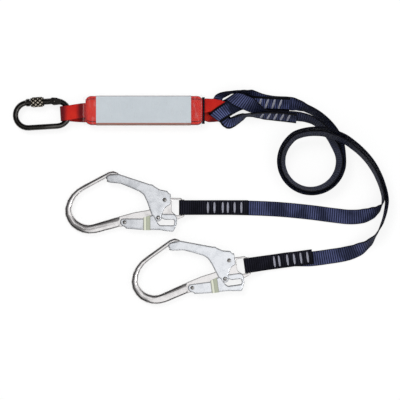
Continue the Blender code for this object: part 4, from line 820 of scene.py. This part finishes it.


# Painted shade where the plies shade each other and where the loops bend away: x, y, inner and outer reach, and
# share of the distance across that counts
HITCH_SHADES = ((0.1725, 0.0050, 0.0110, 0.0165, 1.0), (0.1580, 0.0210, 0.0060, 0.0150, 1.0))
LOOP_SHADES = ((-0.1535, -0.0045, 0.0010, 0.0120, 0.1), (-0.1190, -0.0020, 0.0010, 0.0110, 0.2),
               (0.1290, -0.0200, 0.0020, 0.0120, 1.0))
SHADE_DEPTH = 0.94


def rib_weave_effect():
    """Ribbed narrow weave from distances along and across a strap: its height, masks of its parts, and a
    painted-light share that is high on faces turned up.
    """
    group, given, made = new_effect(
        "rib_weave", {"Along": 0, "Across": 0, "Pitch": RIB_PITCH, "Ribbed": RIBBED_REACH},
        ("Height", "Crest", "Selvedge", "Upper"))
    along, across, pitch, ribbed = (given.outputs[k] for k in ("Along", "Across", "Pitch", "Ribbed"))
    part = calc(group, "FRACT", calc(group, "DIVIDE", along, pitch))
    off = calc(group, "MULTIPLY", calc(group, "ABSOLUTE", calc(group, "SUBTRACT", part, 0.5)), 2.0)
    round_rib = calc(group, "SUBTRACT", 1.0, calc(group, "POWER", off, 2.2))
    place = join(group, "ShaderNodeCombineXYZ", {"X": along, "Y": across}).outputs[0]
    grain = clouds(group, place, 900.0, 3.0)
    threads = waves(group, across, THREAD_PITCH)
    plain = calc(group, "ADD", ribbed, 0.0010)
    edge = fade(group, calc(group, "ABSOLUTE", across), ribbed, plain, smooth=True)
    inside = calc(group, "SUBTRACT", 1.0, edge)
    crest = calc(group, "MULTIPLY", calc(group, "POWER", calc(group, "SUBTRACT", 1.0, off), 1.4), inside)
    crest = calc(group, "MULTIPLY", crest, calc(group, "MULTIPLY_ADD", threads, 0.35, 0.65))
    # Painted sheen on the rib crests: brighter in random patches and on faces turned up, darker on faces turned
    # away from up.
    bloom = fade(group, clouds(group, place, 26.0, 2.0), 0.36, 0.62, 0.30, 1.0, smooth=True)
    facing = parts_of(group, group.nodes.new("ShaderNodeNewGeometry").outputs["Normal"])
    upper = fade(group, facing[2], 0.20, 0.90, smooth=True)
    crest = calc(group, "MULTIPLY", crest,
                 calc(group, "MULTIPLY", bloom, calc(group, "MULTIPLY_ADD", upper, 0.80, 0.20)))
    height = calc(group, "MULTIPLY", round_rib, inside)
    height = calc(group, "ADD", height, calc(group, "MULTIPLY", threads, 0.22))
    height = calc(group, "ADD", height, calc(group, "MULTIPLY", grain, 0.25))
    for label, value in (("Height", height), ("Crest", crest), ("Selvedge", edge), ("Upper", upper)):
        group.links.new(value, made.inputs[label])
    return group


def handling_effect():
    """Scuffs and smears from handling, in Object coordinates: two masks and a height."""
    group, given, made = new_effect("handling", {"Scale": 60, "Amount": 0.5}, ("Smear", "Scratch", "Height"))
    scale, amount = (given.outputs[k] for k in ("Scale", "Amount"))
    place = object_place(group)
    cloud = clouds(group, place, scale, 4.0, 0.6)
    smear = calc(group, "MULTIPLY", fade(group, cloud, 0.42, 0.68, smooth=True), amount)
    drawn = join(group, "ShaderNodeMapping", {"Vector": place, "Scale": (40.0, 900.0, 400.0),
                                              "Rotation": (0.0, 0.0, 0.35)})
    lines = clouds(group, drawn.outputs[0], 1.0, 2.0)
    scratch = calc(group, "MULTIPLY", fade(group, lines, 0.62, 0.72), amount)
    height = calc(group, "SUBTRACT", cloud, calc(group, "MULTIPLY", scratch, 0.4))
    for label, value in (("Smear", smear), ("Scratch", scratch), ("Height", height)):
        group.links.new(value, made.inputs[label])
    return group


def webbing_finish(name, ground, rib, edge, pitch, weave, gloss, depth, ribbed=RIBBED_REACH, under=None,
                   fold=0.0, shades=()):
    """Woven polyester: dark ground, paler rib crests as painted sheen, plain woven edges, and painted shade on
    faces turned away from up, along folds and round shade spots.
    """
    mat, tree, surface = new_finish(name, ground, gloss)
    spot = strap_place(tree)
    threads = join(tree, "ShaderNodeGroup", {"Along": spot[0], "Across": spot[1], "Pitch": pitch,
                                             "Ribbed": ribbed}, node_tree=weave)
    colour = blend_colours(tree, threads.outputs["Crest"], ground, rib)
    colour = blend_colours(tree, threads.outputs["Selvedge"], colour, edge)
    # Painted shade: faces turned away from up take the darker under colour.
    if under:
        colour = blend_colours(tree, threads.outputs["Upper"], under, colour)
    # Painted shade along the fold crease.
    if fold:
        away = calc(tree, "ABSOLUTE", calc(tree, "SUBTRACT", calc(tree, "ABSOLUTE", spot[1]), fold))
        line = fade(tree, away, 0.0005, 0.0013, 0.85, 0.0, smooth=True)
        colour = blend_colours(tree, line, colour, under)
    place = object_place(tree)
    # Painted shade: darker towards each given spot.
    for x, y, inner, outer, share in shades:
        flat = join(tree, "ShaderNodeMapping", {"Vector": place, "Location": (-x, -y * share, 0),
                                                "Scale": (1, share, 0)})
        reach = join(tree, "ShaderNodeVectorMath", {0: flat.outputs[0]}, operation="LENGTH")
        dim = fade(tree, reach.outputs["Value"], inner, outer, SHADE_DEPTH, 0.0, smooth=True)
        colour = blend_colours(tree, dim, colour, under or ground)
    tree.links.new(colour, surface.inputs["Base Color"])
    raise_by(tree, surface, threads.outputs["Height"], 0.9, depth)
    surface.inputs["Sheen Weight"].default_value = 0.03
    surface.inputs["Specular IOR Level"].default_value = 0.12
    surface.inputs["Sheen Roughness"].default_value = 0.4
    surface.inputs["Sheen Tint"].default_value = (*rib, 1)
    return mat


def metal_finish(handling, name, colour, stain, low, high, edge=0.0004, scale=60.0):
    """Metal with smears that change its roughness and shade, fine scratches and softly rounded edges."""
    mat, tree, surface = new_finish(name, colour, low, 1.0)
    marks = join(tree, "ShaderNodeGroup", {"Scale": scale}, node_tree=handling)
    smear = marks.outputs["Smear"]
    tree.links.new(blend_colours(tree, smear, colour, stain), surface.inputs["Base Color"])
    worn = calc(tree, "ADD", smear, marks.outputs["Scratch"])
    tree.links.new(fade(tree, worn, 0.0, 1.0, low, high), surface.inputs["Roughness"])
    rounded = join(tree, "ShaderNodeBevel", {"Radius": edge}, samples=6)
    raise_by(tree, surface, marks.outputs["Height"], 0.5, 0.00006, rounded.outputs[0])
    return mat, tree, surface


def knurled_finish(handling):
    """Dark sleeve with a worn diamond knurl whose points are pale: partly bare worn metal, partly painted
    glint.
    """
    mat, tree, surface = metal_finish(handling, "knurled_sleeve", (0.050, 0.042, 0.034),
                                      (0.03, 0.026, 0.022), 0.28, 0.50)
    x, y, turn = CARABINER_PLACE
    along, across, up = own_place(tree, x, y, CARABINER_HEIGHT, turn)
    angle = calc(tree, "ARCTAN2", up, calc(tree, "SUBTRACT", across, OVAL_RADIUS))
    around = calc(tree, "MULTIPLY", angle, SLEEVE_RADIUS)
    point = calc(tree, "MULTIPLY", *(waves(tree, calc(tree, "MULTIPLY_ADD", around, way, along), KNURL_PITCH)
                                     for way in (1.0, -1.0)))
    away = calc(tree, "ABSOLUTE", calc(tree, "ADD", along, KNURL_SHIFT))
    point = calc(tree, "MULTIPLY", point, fade(tree, away, *KNURL_REACH, 1.0, 0.0))
    # Pale knurl points: partly wear, partly painted glint.
    worn = fade(tree, point, 0.26, 0.52)
    base = surface.inputs["Base Color"].links[0].from_socket
    tree.links.new(blend_colours(tree, worn, base, (0.62, 0.56, 0.46)), surface.inputs["Base Color"])
    tree.links.new(calc(tree, "MULTIPLY_ADD", worn, -0.8, 1.0), surface.inputs["Metallic"])
    raise_by(tree, surface, point, 1.0, 0.0008, surface.inputs["Normal"].links[0].from_socket)
    return mat


def band_finish(hook):
    """Inspection tape: pale and olive stripes across it, in the hook's own direction."""
    mat, tree, surface = new_finish(hook + "_band", (0.62, 0.64, 0.50), 0.45)
    x, y, turn = HOOK_PLACES[hook]
    along = own_place(tree, x, y, 0, turn)[0]
    share = fade(tree, along, BAND_START, BAND_START + BAND_LENGTH)
    ramp = join(tree, "ShaderNodeValToRGB", {"Fac": share})
    ramp.color_ramp.interpolation = "CONSTANT"
    stripes = ((0.0, (0.33, 0.34, 0.30)), (0.14, (0.74, 0.76, 0.62)), (0.42, (0.30, 0.32, 0.26)),
               (0.50, (0.44, 0.47, 0.36)), (0.90, (0.30, 0.32, 0.27)))
    for i, (start, colour) in enumerate(stripes):
        stop = ramp.color_ramp.elements[0] if i == 0 else ramp.color_ramp.elements.new(start)
        stop.color = (*colour, 1)
    ramp.color_ramp.elements.remove(ramp.color_ramp.elements[-1])
    tree.links.new(ramp.outputs[0], surface.inputs["Base Color"])
    surface.inputs["Coat Weight"].default_value = 0.4
    return mat


def label_finish():
    """Bare pale label with a brown-red strip along one edge and a thin dark line of painted shade near both,
    slightly glossy.
    """
    mat, tree, surface = new_finish("pale_label", (0.55, 0.60, 0.64), 0.42)
    place = object_place(tree)
    across = parts_of(tree, place)[1]
    cloud = clouds(tree, place, 35.0, 3.0)
    paper = blend_colours(tree, cloud, (0.51, 0.56, 0.60), (0.58, 0.63, 0.67))
    paper = blend_colours(tree, fade(tree, across, *LABEL_STRIP, 1.0, 0.0), paper, (0.36, 0.13, 0.09))
    # Painted shade: a thin dark line where the label turns down at each side.
    from_shade_line = calc(tree, "ABSOLUTE", calc(tree, "SUBTRACT", calc(tree, "ABSOLUTE", across), LABEL_SHADE_LINE))
    paper = blend_colours(tree, fade(tree, from_shade_line, 0.0003, 0.0008, 1.0, 0.0), paper, (0.22, 0.16, 0.14))
    tree.links.new(paper, surface.inputs["Base Color"])
    height = calc(tree, "ADD", calc(tree, "MULTIPLY", cloud, 4.0), clouds(tree, place, 900.0, 4.0))
    raise_by(tree, surface, height, 0.35, 0.0003)
    return mat


def film_finish():
    """Clear film: nearly unseen where it lies flat, whiter along its wrinkles and its two lips as painted
    highlight.
    """
    mat, tree, surface = new_finish("clear_shrink_film", (0.90, 0.91, 0.93), 0.10)
    place = object_place(tree)
    drawn = join(tree, "ShaderNodeMapping", {"Vector": place, "Scale": (1.0, 0.35, 0.35)})
    folds = clouds(tree, drawn.outputs[0], 120.0, 3.0)
    # Painted highlight: the film is whiter along its wrinkles.
    painted_wrinkle_highlight = fade(tree, folds, 0.56, 0.70, 0.012, 0.07)
    from_middle = calc(tree, "ABSOLUTE", calc(tree, "ADD", parts_of(tree, place)[0], FILM_PULL / 2))
    end = (SHRINK_LENGTH - FILM_PULL) / 2
    # Painted highlight along its two lips.
    lip = fade(tree, from_middle, end - 0.0022, end - 0.0008, 0.0, 0.05)
    tree.links.new(calc(tree, "ADD", painted_wrinkle_highlight, lip), surface.inputs["Alpha"])
    raise_by(tree, surface, folds, 0.3, 0.0005)
    surface.inputs["Coat Weight"].default_value = 0.5
    surface.inputs["Coat Roughness"].default_value = 0.06
    return mat


def thread_finish():
    """Grey bar-tack thread: close turns across each tack, paler on their tops and darker between them as
    painted highlight and painted shade.
    """
    mat, tree, surface = new_finish("tack_thread", (0.40, 0.40, 0.42), 0.55)
    turns = waves(tree, strap_place(tree)[0], STITCH_PITCH)
    # Painted highlight on the turns' tops and painted shade between them.
    tree.links.new(blend_colours(tree, turns, (0.22, 0.22, 0.27), (0.53, 0.54, 0.64)),
                   surface.inputs["Base Color"])
    raise_by(tree, surface, turns, 0.8, 0.0004)
    return mat


def mix_finishes():
    """Every finish by the name of the record's slot, or its own."""
    weave = rib_weave_effect()
    handling = handling_effect()
    finishes = {
        "navy_webbing": webbing_finish(
            "navy_webbing", (0.005, 0.007, 0.018), (0.13, 0.15, 0.34), (0.003, 0.003, 0.006),
            RIB_PITCH, weave, 0.55, 0.0007),
        # Hitch webbing, a lit and shaded copy of the navy webbing: brighter painted sheen on its ribs, wider
        # dark edges as painted shade, and painted shade spots.
        "painted_light_hitch_webbing": webbing_finish(
            "painted_light_hitch_webbing", (0.006, 0.008, 0.022), (0.16, 0.19, 0.44), (0.002, 0.002, 0.004),
            RIB_PITCH, weave, 0.55, 0.0007, 0.0094, shades=HITCH_SHADES),
        "dark_webbing": webbing_finish(
            "dark_webbing", (0.003, 0.003, 0.006), (0.020, 0.020, 0.036), (0.002, 0.002, 0.004),
            RIB_PITCH, weave, 0.60, 0.0007),
        # The red webbings' under colour is painted shade: on faces turned away from up, at the fold crease and
        # round the shade spots.
        "red_webbing": webbing_finish(
            "red_webbing", (0.50, 0.012, 0.010), (0.80, 0.045, 0.020), (0.42, 0.012, 0.012),
            RED_RIB_PITCH, weave, 0.60, 0.0003, under=(0.10, 0.006, 0.010), shades=LOOP_SHADES),
        "folded_webbing": webbing_finish(
            "folded_webbing", (0.52, 0.014, 0.012), (0.82, 0.055, 0.025), (0.50, 0.014, 0.014),
            RED_RIB_PITCH, weave, 0.60, 0.0003, 0.0400, (0.11, 0.006, 0.014), PLY_FOLD),
        "thread": thread_finish(),
        "sleeve_steel": knurled_finish(handling),
        "label": label_finish(),
        "clear": film_finish(),
        "hook_1_band": band_finish("hook_1"),
        "hook_2_band": band_finish("hook_2"),
    }
    metals = {
        "forging": ("forged_zinc", (0.84, 0.82, 0.82), (0.68, 0.66, 0.66), 0.14, 0.32, 0.0028),
        "plate": ("zinc_sheet", (0.83, 0.85, 0.89), (0.70, 0.73, 0.78), 0.20, 0.34, 0.0038),
        "rivet": ("rivet_steel", (0.34, 0.33, 0.32), (0.22, 0.21, 0.20), 0.30, 0.5, 0.0005, 300.0),
        "spring": ("spring_steel", (0.42, 0.42, 0.43), (0.30, 0.30, 0.30), 0.22, 0.4),
        "dark_steel": ("dark_steel", (0.100, 0.096, 0.090), (0.040, 0.040, 0.038), 0.08, 0.20),
    }
    for slot, values in metals.items():
        finishes[slot] = metal_finish(handling, *values)[0]
    return finishes


# Metal pieces

# How far edges are rounded, by the record's slot
EDGE_WIDTHS = {"forging": 0.0010, "plate": 0.0006, "dark_steel": 0.0004, "sleeve_steel": 0.0002}

# Faces that meet flatter than the first are joined, edges sharper than the others are hard or rounded
FLAT_ANGLE = math.radians(1.5)
HARD_ANGLE = math.radians(34)
ROUNDED_ANGLE = math.radians(36)

# Nodes whose whole look is made here
SOFT_NODES = {"upper_leg", "lower_leg", "near_loop", "far_loop", "tear_webbing_pack", "clear_shrink_sleeve"}


def dressed(node, mat, edge):
    """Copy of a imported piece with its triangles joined, its edges rounded and its finish on, in its place."""
    source = frame["nodes"][node]
    bm = bmesh.new()
    bm.from_mesh(source.data)
    bmesh.ops.remove_doubles(bm, verts=bm.verts, dist=1e-6)
    bmesh.ops.dissolve_limit(bm, angle_limit=FLAT_ANGLE, verts=bm.verts, edges=bm.edges)
    for line in bm.edges:
        line.smooth = len(line.link_faces) == 2 and line.calc_face_angle(0) < HARD_ANGLE
    obj = put_in_scene("finished_" + node, bm, mat)
    if edge:
        bevel = obj.modifiers.new("rounded_edges", "BEVEL")
        bevel.width = edge
        bevel.segments = 2
        bevel.limit_method = "ANGLE"
        bevel.angle_limit = ROUNDED_ANGLE
        bevel.use_clamp_overlap = True
        bevel.harden_normals = True
    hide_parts(node)
    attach(obj, source["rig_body"])
    return obj


def squeeze(obj, node):
    """Give a coil spring, the gate's plunger spring or a lock lever's spring, its own copy of its mesh."""
    if node == "gate_plunger_spring":
        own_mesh(obj)
    elif node.endswith("lever_spring"):
        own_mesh(obj)


def main():
    place_camera()
    set_light()
    finishes = mix_finishes()
    lay_table()
    hang_cards()
    leg("upper_leg", UPPER_LEG_START, UPPER_LEG_END, "hook_2", finishes)
    leg("lower_leg", LOWER_LEG_START, LOWER_LEG_END, "hook_1", finishes)
    for piece, slot in ((near_loop(finishes), "red_webbing"), (far_loop(finishes), "red_webbing"),
                        (tear_webbing(finishes), "red_webbing"), (clear_film(finishes), "clear"),
                        (painted_shade_band(finishes), "navy_webbing")):
        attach(piece, "absorber")
    slots = {part["node"]: part["material_slot"] for part in frame["record"]["subparts"]}
    for node, slot in slots.items():
        if node not in SOFT_NODES:
            mat = finishes[node[:6] + "_band"] if slot == "band" else finishes[slot]
            squeeze(dressed(node, mat, EDGE_WIDTHS.get(slot, 0.0)), node)
    bpy.context.scene.view_settings.view_transform = "Standard"


main()
